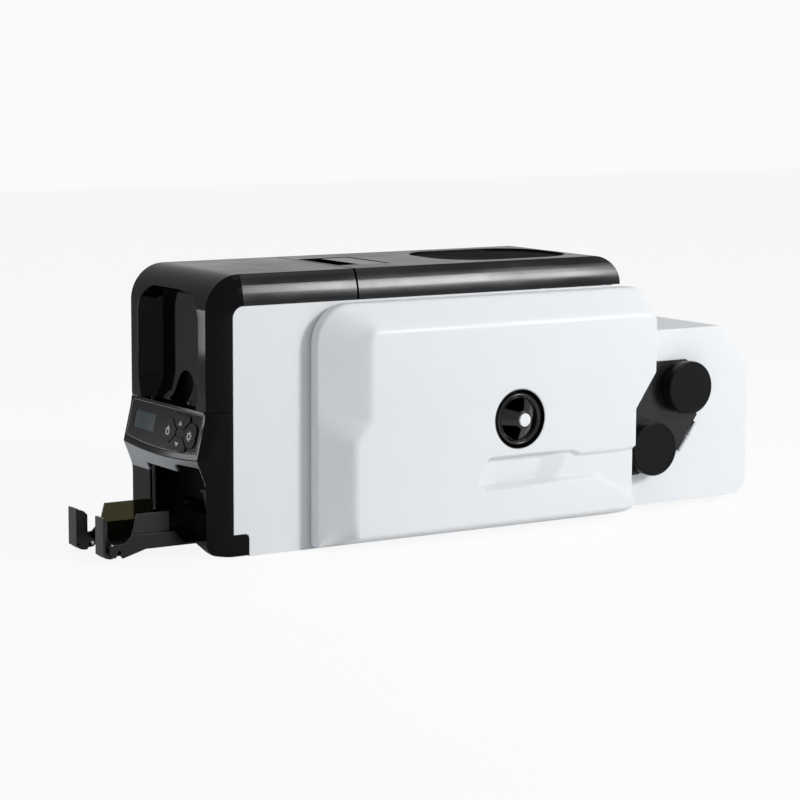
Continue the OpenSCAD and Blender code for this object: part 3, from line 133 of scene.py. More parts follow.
def smooth_by_angle(limit):
    """Geometry nodes that shade faces smooth and keep edges over the limit sharp."""
    name = "smooth_under_%d" % limit
    if name in bpy.data.node_groups:
        return bpy.data.node_groups[name]
    group = bpy.data.node_groups.new(name, "GeometryNodeTree")
    group.interface.new_socket("Geometry", in_out="INPUT", socket_type="NodeSocketGeometry")
    group.interface.new_socket("Geometry", in_out="OUTPUT", socket_type="NodeSocketGeometry")
    start = group.nodes.new("NodeGroupInput")
    end = group.nodes.new("NodeGroupOutput")
    faces = group.nodes.new("GeometryNodeSetShadeSmooth")
    edges = group.nodes.new("GeometryNodeSetShadeSmooth")
    edges.domain = "EDGE"
    edges.inputs["Shade Smooth"].default_value = False
    bend = group.nodes.new("GeometryNodeInputMeshEdgeAngle")
    over = group.nodes.new("FunctionNodeCompare")
    over.inputs["B"].default_value = math.radians(limit)
    group.links.new(start.outputs[0], faces.inputs["Geometry"])
    group.links.new(faces.outputs[0], edges.inputs["Geometry"])
    group.links.new(bend.outputs["Unsigned Angle"], over.inputs["A"])
    group.links.new(over.outputs["Result"], edges.inputs["Selection"])
    group.links.new(edges.outputs[0], end.inputs[0])
    return group


def soft_edges(piece, sharp=30):
    """Smooths what bends less than the sharp angle and keeps the flats flat."""
    smooth = piece.modifiers.new("smooth", "NODES")
    smooth.node_group = smooth_by_angle(sharp)
    even = piece.modifiers.new("even_normals", "WEIGHTED_NORMAL")
    even.keep_sharp = True
    even.weight = 80


SAME_POINT = 0.002
listed_slot = {part["node"]: part["material_slot"] for part in frame["record"]["subparts"]}
for name, piece in nodes.items():
    piece.data.materials.clear()
    piece.data.materials.append(FINISHES[listed_slot[name]])
    weld = piece.modifiers.new("weld", "WELD")
    weld.merge_threshold = SAME_POINT * MM
    soft_edges(piece)


# Hopper cover -------------------------------------------------------------------------------------
# Piano-black moulding over the card hopper, hung on three barrels: its front rolls into the top and
# its sides roll down to the panels, with an arched recess whose foot curls forward round a thumb
# notch. The outside is a computed surface and the wall's thickness is laid inside it.

HALF_W = 91.5
CREASE_X = 82.5
TOP = 290.0
FRONT = -39.0
SHOULDER = 32.0
SEAM_Z = 151.0
SEAM_GAP = 0.3
COVER_WALL = 2.5
REAR_SEAM_Y = -0.4
REAR_LIP = 3.0
FRONT_SETBACK = 27.0
PANEL_EDGE = -12.8
EDGE_TURN_Z = 246.0
EDGE_BAND = 4.0
SIDE_MEET = 9.0
FRONT_R = 38.0


def build(name, points, faces, finish_name, body="printer", stands_for=(), sharp=34):
    """A piece from points in the printer's datum and faces, riding on a CAD body."""
    mesh = bpy.data.meshes.new(name)
    places = (np.asarray(points, float) + DATUM) * MM
    mesh.from_pydata(places.tolist(), [], [list(map(int, face)) for face in faces])
    mesh.validate()
    mesh.materials.append(FINISHES[finish_name])
    piece = bpy.data.objects.new(name, mesh)
    bpy.context.collection.objects.link(piece)
    soft_edges(piece, sharp)
    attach(piece, body)
    if stands_for:
        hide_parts(*stands_for)
    return piece


def grid_faces(rows, columns, round_rows=False, round_columns=False):
    """Quads between neighbouring rows and columns, closing on themselves where asked."""
    r = np.arange(rows if round_rows else rows - 1)[:, None]
    c = np.arange(columns if round_columns else columns - 1)[None, :]
    here = r * columns + c
    right = r * columns + (c + 1) % columns
    below = ((r + 1) % rows) * columns + c
    both = ((r + 1) % rows) * columns + (c + 1) % columns
    return np.stack([here, right, both, below], axis=-1).reshape(-1, 4)


def round_corners(corners, steps=10):
    """Outline through (y, z, radius) corners: straight runs joined by arcs tangent to both."""
    out = []
    count = len(corners)
    for i, (y, z, r) in enumerate(corners):
        here = np.array([y, z], float)
        before = np.array(corners[i - 1][:2], float) - here
        after = np.array(corners[(i + 1) % count][:2], float) - here
        before, after = before / np.linalg.norm(before), after / np.linalg.norm(after)
        half = math.acos(np.clip(before @ after, -1, 1)) / 2
        if r <= 0 or half > math.radians(89):
            out.append(here)
            continue
        reach = r / math.tan(half)
        middle = here + (before + after) / np.linalg.norm(before + after) * r / math.sin(half)
        start = here + before * reach - middle
        turn = math.pi - 2 * half
        turn *= math.copysign(1, -(before[0] * after[1] - before[1] * after[0]))
        for k in range(steps + 1):
            a = turn * k / steps
            out.append(middle + [start[0] * math.cos(a) - start[1] * math.sin(a),
                                 start[0] * math.sin(a) + start[1] * math.cos(a)])
    return np.array(out)


def resample(outline, spacing):
    """Closed outline with points added so that no run is longer than spacing."""
    out = []
    for a, b in zip(outline, np.roll(outline, -1, axis=0)):
        pieces = max(1, int(math.ceil(np.linalg.norm(b - a) / spacing)))
        out += [a + (b - a) * k / pieces for k in range(pieces)]
    return np.array(out)


def inside_distance(points, outline):
    """Distance from points to the nearest run of a closed outline, positive where a level line from the
    point crosses the outline an odd number of times."""
    a, b = outline, np.roll(outline, -1, axis=0)
    best = np.full(len(points), 1e9)
    crossings = np.zeros(len(points), int)
    for p, q in zip(a, b):
        run = q - p
        along = np.clip((points - p) @ run / max(run @ run, 1e-9), 0, 1)
        best = np.minimum(best, np.linalg.norm(points - p - along[:, None] * run, axis=1))
        spans = (p[1] > points[:, 1]) != (q[1] > points[:, 1])
        if p[1] != q[1]:
            crossings += spans & (points[:, 0] < p[0] + (points[:, 1] - p[1]) * run[0] / run[1])
    return np.where(crossings % 2 == 1, best, -best)


def inward(outline):
    """Unit vectors square to a closed outline that runs anticlockwise, pointing inside."""
    along = np.roll(outline, -1, axis=0) - np.roll(outline, 1, axis=0)
    along /= np.linalg.norm(along, axis=1)[:, None]
    return np.stack([-along[:, 1], along[:, 0]], axis=1)


def offset(outline, reach):
    """Outline moved inside itself by reach."""
    return outline + inward(outline) * reach


def soft_max(a, b, width):
    """The larger of a and b, rounded where they differ by less than width: a quarter of width times the
    square of the share by which they are closer than that is added."""
    near = np.maximum(width - np.abs(a - b), 0) / width
    return np.maximum(a, b) + near * near * width / 4


def soft_min(a, b, width):
    """The smaller of a and b, rounded in the same way: soft_max of both turned over."""
    return -soft_max(-np.asarray(a), -np.asarray(b), width)


def turned(profile, centre, sides=96, ripple=None):
    """Ring of (x, radius) points carried round an axis along x through centre (y, z); the profile is a
    closed loop, and ripple(angle) is added to the radius of the points that it names."""
    angles = np.linspace(0, 2 * math.pi, sides + 1)[:-1][:, None]
    x, r = np.array(profile, float).T
    radius = np.broadcast_to(r, (sides, len(r))).copy()
    if ripple:
        which, depth = ripple
        radius[:, which] += depth(angles)
    points = np.stack([np.broadcast_to(x, radius.shape), centre[0] + radius * np.sin(angles),
                       centre[1] + radius * np.cos(angles)], axis=-1).reshape(-1, 3)
    return points, grid_faces(sides, len(r), True, True)


def triangles(closed, chains, fill, inside, weld):
    """Delaunay triangles through closed and open chains of points and the fill between them, kept where
    inside(middle) holds; points closer than weld are one, and points that no triangle uses go."""
    points, edges = [], []
    for k, chain in enumerate(list(closed) + list(chains)):
        start, count = len(points), len(chain)
        points += [tuple(p) for p in chain]
        steps = count if k < len(closed) else count - 1
        edges += [(start + i, start + (i + 1) % count) for i in range(steps)]
    made = delaunay_2d_cdt([Vector(p) for p in points + fill.tolist()], edges, [], 0, weld)
    places, faces = np.array([list(p) for p in made[0]]), np.array(made[2])
    used, index = np.unique(faces[inside(places[faces].mean(axis=1))], return_inverse=True)
    return places[used], index.reshape(-1, 3)


def sheet(rim, rings=(), holes=(), lines=(), spacing=4.0):
    """Triangles over a flat plan, inside the rim and outside the holes, with points along every ring
    and line so that the surface can turn there."""
    closed = [rim] + list(rings) + list(holes)
    low, high = rim.min(axis=0), rim.max(axis=0)
    a, b = np.meshgrid(np.arange(low[0] + spacing / 2, high[0], spacing),
                       np.arange(low[1] + spacing / 2, high[1], spacing))
    fill = np.stack([a.ravel(), b.ravel()], axis=1)
    known = np.vstack(closed + list(lines))
    nearest = np.sum((fill[:, None] - known) ** 2, axis=-1).min(axis=1)
    fill = fill[(nearest > (0.6 * spacing) ** 2) & (inside_distance(fill, rim) > 0.3 * spacing)]

    def inside(middle):
        """True inside the rim and outside every hole."""
        keep = inside_distance(middle, rim) > 0
        for hole in holes:
            keep &= inside_distance(middle, hole) < 0
        return keep

    return triangles(closed, lines, fill, inside, 0.01)


def joined(*pieces):
    """Several (points, faces) pairs as one."""
    points, faces, count = [], [], 0
    for some, their in pieces:
        points.append(np.asarray(some, float))
        faces += [np.add(face, count) for face in their]
        count += len(some)
    return np.vstack(points), faces


def thicken(piece, wall):
    """Gives a sheet its wall, laid inside its outer surface and before its edges are smoothed."""
    shell = piece.modifiers.new("wall", "SOLIDIFY")
    shell.thickness = wall * MM
    shell.offset = -1.0
    piece.modifiers.move(piece.modifiers.find("wall"), 0)


ROLL_R = (SIDE_MEET ** 2 + SHOULDER ** 2) / (2 * SIDE_MEET)
SWEEP = math.asin(SHOULDER / ROLL_R)
SHORT_OF_PLUMB = math.radians(0.84)
EDGE_U = CREASE_X + ROLL_R * (SWEEP - SHORT_OF_PLUMB)
CROWN_START = TOP - FRONT_R
S_TOP = CROWN_START + FRONT_R * math.pi / 2
MOUTH_Y, RECESS_Y = -40.0, -17.0
RECESS_TURN, MOUTH_RUN = 4.0, 12.0
LEAST_R = 3.0
EDGE_TOP_Y = -1.0
RECESS_REACH = 76.0
EDGE_ROUND = 2.2
FOOT_Z, FOOT_H, FOOT_CURL = 178.0, 24.0, 9.0


def arch(half_width, low, top, radius, steps):
    """Upright outline in (x, z) with a flat foot and rounded upper corners."""
    return round_corners([(-half_width, low, 0), (half_width, low, 0), (half_width, top, radius),
                          (-half_width, top, radius)], steps)


recess_mouth = arch(66, 60, 273, 34, 16)
recess_floor = arch(54, 60, 265, 17, 12)
notch_outline = arch(18, 130, 184, 17.9, 14)


def across(u):
    """x and the drop below the crown at the distance u across the casing: flat out to the crease,
    then an arc of radius ROLL_R that meets the side panel plumb."""
    past = np.maximum(np.abs(u) - CREASE_X, 0) / ROLL_R
    x = np.where(past > 0, HALF_W - ROLL_R * (1 - np.cos(SWEEP - past)), np.abs(u))
    return np.copysign(x, u), np.where(past > 0, SHOULDER - ROLL_R * np.sin(SWEEP - past), 0.0)


def recess_depth(x, z):
    """y of the recess: from the mouth to the floor in step with the distance from both outlines,
    with a foot that curls forward below FOOT_Z by the square of the share of its height."""
    place = np.stack([x, z], axis=1)
    into, short = inside_distance(place, recess_mouth), -inside_distance(place, recess_floor)
    share = np.where(into > 0, into / np.maximum(into + short, RECESS_TURN), into / MOUTH_RUN)
    y = soft_min(MOUTH_Y + (RECESS_Y - MOUTH_Y) * share, RECESS_Y, RECESS_TURN)
    foot = np.clip((FOOT_Z - z) / FOOT_H, 0, 1)
    return y - np.where(into > 0, FOOT_CURL * foot * foot, 0)


def cover_place(plan):
    """Points of the cover at (u, s): u runs across and s up the front, then over the crown. The crown is
    a quarter turn whose radius shrinks by the side roll's drop. The recess is cut where it lies behind
    the front, and the last band at each side runs to the panel's edge, which turns back with the crown."""
    u, s = plan.T
    x, drop = across(u)
    radius = np.maximum(FRONT_R - drop, LEAST_R)
    turn = np.clip((s - CROWN_START) / FRONT_R, 0, math.pi / 2)
    lip = np.clip((s - S_TOP) / REAR_LIP, 0, 1)
    y = FRONT + drop * FRONT_SETBACK / SHOULDER + radius * (1 - np.cos(turn))
    z = np.where(s < CROWN_START, s, CROWN_START + radius * np.sin(turn))
    y += (REAR_SEAM_Y - y) * lip
    y = np.where(np.abs(u) < RECESS_REACH, soft_max(y, recess_depth(x, z), EDGE_ROUND), y)
    edge = np.clip((np.abs(u) - EDGE_U + EDGE_BAND) / EDGE_BAND, 0, 1)
    swing = np.clip((s - EDGE_TURN_Z) / (S_TOP - EDGE_TURN_Z), 0, 1) * math.pi / 2
    edge_y = np.where(s < EDGE_TURN_Z, PANEL_EDGE, EDGE_TOP_Y + (PANEL_EDGE - EDGE_TOP_Y) * np.cos(swing))
    edge_y += (REAR_SEAM_Y - edge_y) * lip
    edge_z = np.where(s < EDGE_TURN_Z, s, EDGE_TURN_Z - PANEL_EDGE * np.sin(swing))
    return np.column_stack([x, y + (edge_y - y) * edge, z + (edge_z - z) * edge])


def cover_plan():
    """The cover's flat plan, with points crowded along the recess's edge, its floor and the creases."""
    def crown_turn(z):
        """Angle round the crown at the height z."""
        return np.arcsin(np.clip((z - CROWN_START) / FRONT_R, 0, 1))

    def unrolled(outline):
        """An outline in (x, z) on the flat plan: heights past the crown's start become arc lengths."""
        x, z = outline.T
        return np.column_stack([x, np.where(z < CROWN_START, z, CROWN_START + FRONT_R * crown_turn(z))])

    mouth = resample(recess_mouth, 2.6)
    crest = np.zeros(len(mouth))
    for step in np.linspace(8, 0, 81):
        at = offset(mouth, step)
        front = FRONT + FRONT_R * (1 - np.cos(crown_turn(at[:, 1])))
        crest = np.where(recess_depth(*at.T) >= front, step, crest)
    rings = [unrolled(offset(mouth, (crest + d)[:, None]))
             for d in (-EDGE_ROUND, -1.3, -0.6, 0, 0.6, 1.3, EDGE_ROUND)]
    rings += [unrolled(offset(resample(recess_floor, 3.0), d)) for d in (-3.5, -2.0, -0.8, 0.6, 2.2)]
    columns = CREASE_X + (EDGE_U - CREASE_X) * np.linspace(0, 1, 10)[:-1]
    heights = np.arange(SEAM_Z + 1, S_TOP + REAR_LIP, 3.5)
    lines = [np.column_stack([np.full(len(heights), side * c), heights]) for c in columns for side in (-1, 1)]
    low, high = SEAM_Z + SEAM_GAP, S_TOP + REAR_LIP
    rim = np.array([[-EDGE_U, low], [EDGE_U, low], [EDGE_U, high], [-EDGE_U, high]])
    return sheet(resample(rim, 3.5), rings, [resample(notch_outline, 2.5)], lines, 4.0)


BARREL_AT = (-3.5, 286.6)
BARREL_R, BARREL_BORE = 3.0, 1.1
plan, faces = cover_plan()
cover = build("hopper_cover_shell", cover_place(plan), faces, "gloss_black", "hopper_cover",
              ["hopper_cover"], 40)
thicken(cover, COVER_WALL)
barrels = [turned([(low, BARREL_BORE), (low, BARREL_R), (high, BARREL_R), (high, BARREL_BORE)], BARREL_AT, 32)
           for low, high in ((-78.5, -62.4), (-57.6, 57.6), (62.4, 78.5))]
build("hopper_cover_barrel", *joined(*barrels), "gloss_black", "hopper_cover", sharp=40)


# Lower bezel --------------------------------------------------------------------------------------
# Black moulding under the cover: a leaning panel bowed at its nose, a chin below it painted
# satin silver as a painted reflection of the bright lamp it mirrors, and a straight lower front cut
# away for the tray, with a foot under each side panel.

NOSE_Z, CHIN_Z, NOSE_BOW = 102.5, 76.0, 4.1
NOSE_TOP = -38.0
LEAN = 11.5 / 48.5
LOW = 2.0
CURL_R, CURL_TOP = 14.0, 16.0
EDGE_DROP = 31.1
NOSE_TURN, CHIN_TURN = 1.1, 2.5
BEZEL_WALL = 2.5
# Painted reflection: the chin's satin silver stands in for the bright lamp reflection on the glossy black
# chin.
CHIN_REFLECTION_PAINT = finish("satin_silver", (0.34, 0.36, 0.38), 0.34, metal=0.7, grain=0.4, depth=0.006)
FINISHES["satin_silver"] = CHIN_REFLECTION_PAINT


def nose_line(x):
    """Height of the nose: NOSE_Z at the creases, lower between them by a parabola NOSE_BOW deep."""
    return NOSE_Z - NOSE_BOW * np.clip(1 - (x / CREASE_X) ** 2, 0, 1)


def bezel_place(plan):
    """Points of the bezel at (u, z): the leaning panel, the chin back to the lower front, the quarter
    turn under its foot, and the roll at each side back to the panel's edge in step with the drop."""
    u, z = plan.T
    x, drop = across(u)
    nose = nose_line(x)
    lean = NOSE_TOP - (SEAM_Z - z) * LEAN
    tip = NOSE_TOP - (SEAM_Z - nose) * LEAN
    chin = tip + (nose - z) * (FRONT - tip) / (nose - CHIN_Z)
    y = soft_min(soft_max(lean, chin, NOSE_TURN), FRONT, CHIN_TURN)
    curl = np.clip(CURL_TOP - z, 0, CURL_R)
    y = y + CURL_R - np.sqrt(CURL_R ** 2 - curl ** 2)
    return np.column_stack([x, y + (PANEL_EDGE - y) * drop / EDGE_DROP, z])


def up_panel(x, up, out=0.0):
    """Point on the leaning panel: across, up its face from the seam, and out of it."""
    tilt = math.atan(LEAN)
    x, up, out = np.broadcast_arrays(np.asarray(x, float), up, out)
    return np.stack([x, NOSE_TOP + up * math.sin(tilt) - out * math.cos(tilt),
                     SEAM_Z + up * math.cos(tilt) + out * math.sin(tilt)], axis=-1)


def panel_outline(half, top, side, bow, steps=40):
    """Outline on the panel between straight sides, with a bowed lower edge, anticlockwise."""
    x = np.linspace(-half, half, steps + 1)
    low = np.column_stack([x, side - bow * (1 - (x / half) ** 2)])
    return np.vstack([low, [[half, top], [-half, top]]])


def level_line(z):
    """Points across the whole bezel at one height, or at a height for each of them."""
    return np.column_stack([across_u, np.broadcast_to(z, across_u.shape)])


exit_cut = np.array([[-42, -10], [81, -10], [81, 3], [70, 10], [60, 13.5], [60, 15.5], [76, 21], [81, 32],
                     [81, 52], [79, 60], [74, 66], [69, 70], [81, 73], [81, 94.5], [36, 93], [28.5, 91],
                     [28, 84], [-42, 84]], float)
fascia_cut = up_panel(*panel_outline(79.3, -2.7, -43.3, 4.8).T)[:, [0, 2]]
roll_u = np.linspace(CREASE_X, EDGE_U, 12)
across_u = np.unique(np.concatenate([np.linspace(-CREASE_X, CREASE_X, 50), -roll_u, roll_u]))
lines = [level_line(nose_line(across(across_u)[0]) + d) for d in (-1.2, -0.5, 0, 0.5, 1.2)]
lines += [level_line(CHIN_Z + d) for d in (1.5, 0.5, -0.5, -1.5)]
lines += [level_line(float(z)) for z in (16, 12, 8, 5, 3.2)]
heights = np.arange(4, 150, 4.0)
lines += [np.column_stack([np.full(len(heights), side * (CREASE_X + (EDGE_U - CREASE_X) * k / 9)), heights])
          for k in range(9) for side in (-1, 1)]
top = SEAM_Z - SEAM_GAP
bezel_rim = np.array([[-EDGE_U, LOW], [EDGE_U, LOW], [EDGE_U, top], [-EDGE_U, top]])
plan, faces = sheet(resample(bezel_rim, 4), [], [resample(exit_cut, 4), resample(fascia_cut, 4)], lines, 5.0)
foot_back = PANEL_EDGE - 0.2
foot = round_corners([(foot_back, LOW, 0), (5.5, LOW, 0), (5.5, 24, 5), (foot_back, 24, 0)], 8)
flat, flat_faces = sheet(resample(foot, 3), spacing=5.0)
feet = [(np.column_stack([np.full(len(flat), side * (HALF_W - 0.01)), flat]), flat_faces[:, ::side])
        for side in (-1, 1)]
bezel = build("lower_bezel_shell", *joined((bezel_place(plan), faces), *feet), "gloss_black", "printer",
              ["lower_bezel"], 40)
thicken(bezel, BEZEL_WALL)
# The chin's faces between CHIN_Z and the nose take the silver painted reflection; the rest stays gloss black.
bezel.data.materials.append(CHIN_REFLECTION_PAINT)
middle_u, middle_z = plan[faces].mean(axis=1).T
painted_reflection_faces = (middle_z > CHIN_Z - 0.3) & (middle_z < nose_line(middle_u) - 0.4) & (np.abs(middle_u) < CREASE_X)
chin_marks = np.zeros(len(bezel.data.polygons), np.int32)
chin_marks[:len(painted_reflection_faces)] = painted_reflection_faces
bezel.data.polygons.foreach_set("material_index", chin_marks)


# Control panel marks ------------------------------------------------------------------------------
# A thin bright bead is let in round the fascia, and each button carries a sign printed in thick
# white ink: arrows up and down, a drop at the left and a cog at the right.

BEAD_R, BEAD_OUT = 0.32, 0.1
SIGN_T, SIGN_GAP = 0.15, 0.01
FINISHES["icon_white"] = finish("icon_white", (0.75, 0.76, 0.77), 0.5, grain=0.3, depth=0.004, cloud=0.01)


def wire(path, radius, sides=8, closed=True):
    """Bead along a path: at each point a ring of that radius, square to the run between its neighbours."""
    path = np.array(path, float)
    along = np.roll(path, -1, axis=0) - np.roll(path, 1, axis=0)
    if not closed:
        along[0], along[-1] = path[1] - path[0], path[-1] - path[-2]
    along /= np.linalg.norm(along, axis=1)[:, None]
    side = np.cross(along, np.where(np.abs(along[:, :1]) > 0.9, [[0.0, 0.0, 1.0]], [[1.0, 0.0, 0.0]]))
    side /= np.linalg.norm(side, axis=1)[:, None]
    other = np.cross(along, side)
    a = np.linspace(0, 2 * math.pi, sides + 1)[:-1]
    spoke = np.cos(a)[:, None] * side[:, None] + np.sin(a)[:, None] * other[:, None]
    points = path[:, None] + radius * spoke
    return points.reshape(-1, 3), grid_faces(len(path), sides, closed, True)


bead = resample(panel_outline(78.2, -3.9, -42.1, 4.8), 3)
build("fascia_bead", *wire(up_panel(*bead.T, BEAD_OUT), BEAD_R), "satin_silver", "printer", sharp=60)


def circle(x, up, r, count=32):
    """Closed ring of points: r times the cosine and the sine of even turns, about (x, up)."""
    a = np.linspace(0, 2 * math.pi, count + 1)[:-1]
    return np.column_stack([x + r * np.cos(a), up + r * np.sin(a)])


def sign(name, outline, button, holes=(), out=1.3):
    """White sign on a button's face, which stands out of the fascia by out."""
    flat, faces = sheet(np.array(outline, float), holes=holes, spacing=3.0)
    piece = build(name, up_panel(*flat.T, out + SIGN_T), faces, "icon_white", button)
    thicken(piece, SIGN_T - SIGN_GAP)


COG_AT, COG_TEETH = (58.5, -27.5), 8
turns = np.linspace(0, 2 * math.pi, 65)[:-1]
cog_r = 4.3 + 1.0 * np.clip(2.5 * np.sin(COG_TEETH * turns), -1, 1)
cog = np.column_stack([COG_AT[0] + cog_r * np.cos(turns), COG_AT[1] + cog_r * np.sin(turns)])
drop = round_corners([(8, -31.5, 2.5), (16, -31.5, 2.5), (16, -26, 2), (12, -21.6, 0.5), (8, -26, 2)], 5)
sign("sign_up", [(32.5, -19), (39.3, -18.5), (35.4, -14)], "button_up")
sign("sign_down", [(36, -41), (39.3, -37), (31.5, -36.5)], "button_down")
sign("sign_left", drop, "button_left", [circle(12, -28, 2.2)])
sign("sign_right", cog, "button_right", [circle(*COG_AT, 2.1)])


# Side door ----------------------------------------------------------------------------------------
# One large white moulding that swings on arms at its front edge: a straight rim, walls that slope up
# to a flat face, a round hole for the hand wheel and a grip that is deep at the front and runs out at
# the rear edge.

DOOR_FACE, DOOR_RIM, DOOR_KNEE, DOOR_BACK = 131.5, 106.0, 102.0, 98.5
DOOR_LOW = 4.0
DOOR_WALL, MOST_STEEP = 2.5, 1.6
RIM_ROLL, LIP_ROLL = 3.0, 1.5
HINGE_CURL_R, HINGE_BAND = 6.4, 120.0
WHEEL_AT = (315.0, 124.5)
WHEEL_HOLE = 32.0
COLLAR_SEATS = (128.0, 119.0)
GRIP_DEEP, GRIP_SHALLOW, GRIP_WALL = 14.0, 6.0, 5.5
FACE_TURN, RAMP_TURN = 5.0, 0.12
GRIP_EDGE = 0.8
# The ramp's start and end at the grip's foot, and how far each leans back over its height.
RAMP_FOOT, RAMP_H = 50.0, 33.0
RAMP_START, RAMP_END = (340.5, 15.0), (364.0, 19.5)

rim_outline = round_corners([(76, DOOR_LOW, 4), (475, DOOR_LOW, 12), (475, 123, 3), (502, 162, 3),
                             (502, 256, 20), (76, 256, 42)], 14)
face_outline = round_corners([(110, 12, 5), (475, 12, 8), (475, 123, 2), (502, 162, 2),
                              (502, 229, 10), (128, 229, 10), (128, 135, 6), (110, 114, 6)], 10)
grip_outline = round_corners([(262, 61, 5), (269, 50, 7), (418, 53, 30), (490, 14, 0), (490, 86, 0),
                              (458, 81, 8), (396, 81, 8), (386, 86, 8), (276, 86, 7)], 8)


def rolled(distance, radius):
    """Drop of a quarter-round edge at a distance in from it: the radius less the height of the arc,
    which is the root of the radius squared less the square of how far the point is short of it."""
    short = np.clip(radius - distance, 0, radius)
    return radius - np.sqrt(radius ** 2 - short ** 2)


def off_hole(points):
    """Distance of points from the edge of the wheel's hole, positive outside it."""
    return np.linalg.norm(points - WHEEL_AT, axis=1) - WHEEL_HOLE


def door_height(points):
    """How far out the door stands at (y, z): it climbs from the rim to the face in step with the
    distance from both outlines, rolls over at the rim and round the wheel's hole, and sinks into the
    grip, whose floor rises along a ramp from deep to shallow."""
    rim = np.maximum(inside_distance(points, rim_outline), 0)
    out = soft_max(-inside_distance(points, face_outline), 0, FACE_TURN)
    height = DOOR_FACE - (DOOR_FACE - DOOR_RIM) * out / np.maximum(out + rim, 1e-6)
    height -= rolled(rim, RIM_ROLL)
    up = (points[:, 1] - RAMP_FOOT) / RAMP_H
    start, end = (foot + lean * up for foot, lean in (RAMP_START, RAMP_END))
    ramp = soft_min(soft_max((points[:, 0] - start) / (end - start), 0, RAMP_TURN), 1, RAMP_TURN)
    floor = GRIP_DEEP + (GRIP_SHALLOW - GRIP_DEEP) * ramp
    wall = np.clip((inside_distance(points, grip_outline) + GRIP_EDGE) / GRIP_WALL, 0, 1)
    height -= floor * wall * wall * (3 - 2 * wall)
    return height - rolled(off_hole(points), LIP_ROLL)


def grid_points(y, z):
    """Every pair of the given y and z."""
    y, z = np.meshgrid(y, z)
    return np.stack([y.ravel(), z.ravel()], axis=1)


def door_plan():
    """Points over the door's outline, closer where the surface turns, and the triangles on them."""
    rim, face, grip = (resample(outline, 5.0) for outline in (rim_outline, face_outline, grip_outline))
    rings = [offset(rim, d) for d in (0, 0.25, 0.9, 1.8, 3.0, 6.0)]
    rings += [offset(face, d) for d in (-5.0, -3.2, -1.6, 0, 1.6, 3.2, 5.0)]
    rings += [offset(grip, d) for d in (-0.8, 0.2, 1.2, 2.2, 3.2, 4.0, 4.7)]
    rings += [circle(*WHEEL_AT, WHEEL_HOLE + d, 96) for d in (0, 0.2, 0.7, 1.5, 4.0)]
    fill = np.vstack([grid_points(np.arange(80, 502, 7.0), np.arange(9, 256, 7.0)),
                      grid_points(np.arange(332, 392, 1.7), np.arange(52, 88, 3.0))])
    fill = fill[(inside_distance(fill, rim_outline) > 3) & (off_hole(fill) > 5)]

    def inside(middle):
        """True inside the rim and outside the wheel's hole."""
        return (inside_distance(middle, rim_outline) > 0) & (off_hole(middle) > 0)

    return triangles(rings, [], fill, inside, 0.02)


def edge_loops(faces):
    """Chains of the edges that only one face uses, each as a list of point numbers."""
    pairs = np.stack([faces, np.roll(faces, -1, axis=1)], axis=-1).reshape(-1, 2).tolist()
    seen = set(map(tuple, pairs))
    after = {a: b for a, b in pairs if (b, a) not in seen}
    loops = []
    while after:
        start = next(iter(after))
        loop = [start]
        here = after.pop(start)
        while here != start:
            loop.append(here)
            here = after.pop(here)
        loops.append(loop)
    return loops


def skirt(loop, rows, start):
    """Rows of (x, outline) points hung from a loop of point numbers, and the quads between them."""
    points = np.vstack([np.column_stack([np.full(len(loop), x), outline]) for x, outline in rows])
    chain = np.vstack([loop, start + np.arange(len(points)).reshape(len(rows), -1)])
    after = np.roll(chain, -1, axis=1)
    quads = np.stack([after[:-1], chain[:-1], chain[1:], after[1:]], axis=-1).reshape(-1, 4)
    return points, quads, chain[-1]


def side_door():
    """Outer skin over the plan, a straight rim down to the panel that curls in at the hinge edge, a
    collar in the wheel's hole, and the same skin again set in by the wall, square to the surface."""
    plan, faces = door_plan()
    step = 0.05
    slope_y, slope_z = ((door_height(plan + way) - door_height(plan - way)) / (2 * step)
                        for way in ([step, 0], [0, step]))
    loops = sorted(edge_loops(faces), key=len)
    hole, rim = loops[0], loops[-1]
    edge, collar = plan[rim], plan[hole]
    into_door, out_of_hole = inward(edge), (collar - WHEEL_AT) / WHEEL_HOLE
    curl = np.clip(into_door[:, 0], 0, 1) ** 2 * (edge[:, 0] < HINGE_BAND)
    drops = [(DOOR_KNEE, 0.0), (DOOR_BACK, 0.0)]
    drops += [(DOOR_BACK - HINGE_CURL_R * math.sin(a), HINGE_CURL_R * (1 - math.cos(a)))
              for a in np.radians([20, 40, 60, 80])]
    rim_rows = [(x, edge + into_door * (reach * curl)[:, None]) for x, reach in drops]
    rim_points, rim_quads, rim_end = skirt(rim, rim_rows, len(plan))
    collar_rows = [(x, collar) for x in COLLAR_SEATS]
    collar_points, collar_quads, collar_end = skirt(hole, collar_rows, len(plan) + len(rim_points))
    outer = np.vstack([np.column_stack([door_height(plan), plan]), rim_points, collar_points])
    steep = np.sqrt(1 + slope_y ** 2 + slope_z ** 2)
    towards = np.zeros((len(plan), 2))
    towards[rim], towards[hole] = into_door, out_of_hole
    towards = np.vstack([towards, *[into_door] * len(rim_rows), *[out_of_hole] * len(collar_rows)])
    inner = outer.copy()
    inner[:len(plan), 0] -= DOOR_WALL * np.minimum(steep, MOST_STEEP)
    inner[:, 1:] += towards * DOOR_WALL
    skin = [*faces, *rim_quads, *collar_quads]
    lining = [face[::-1] + len(outer) for face in skin]
    seams = []
    for end in (rim_end, collar_end):
        after = np.roll(end, -1)
        seams += list(np.stack([after, end, end + len(outer), after + len(outer)], axis=-1))
    return np.vstack([outer, inner]), skin + lining + seams


build("side_door_shell", *side_door(), "white_plastic", "side_door", ["side_door"], sharp=40)


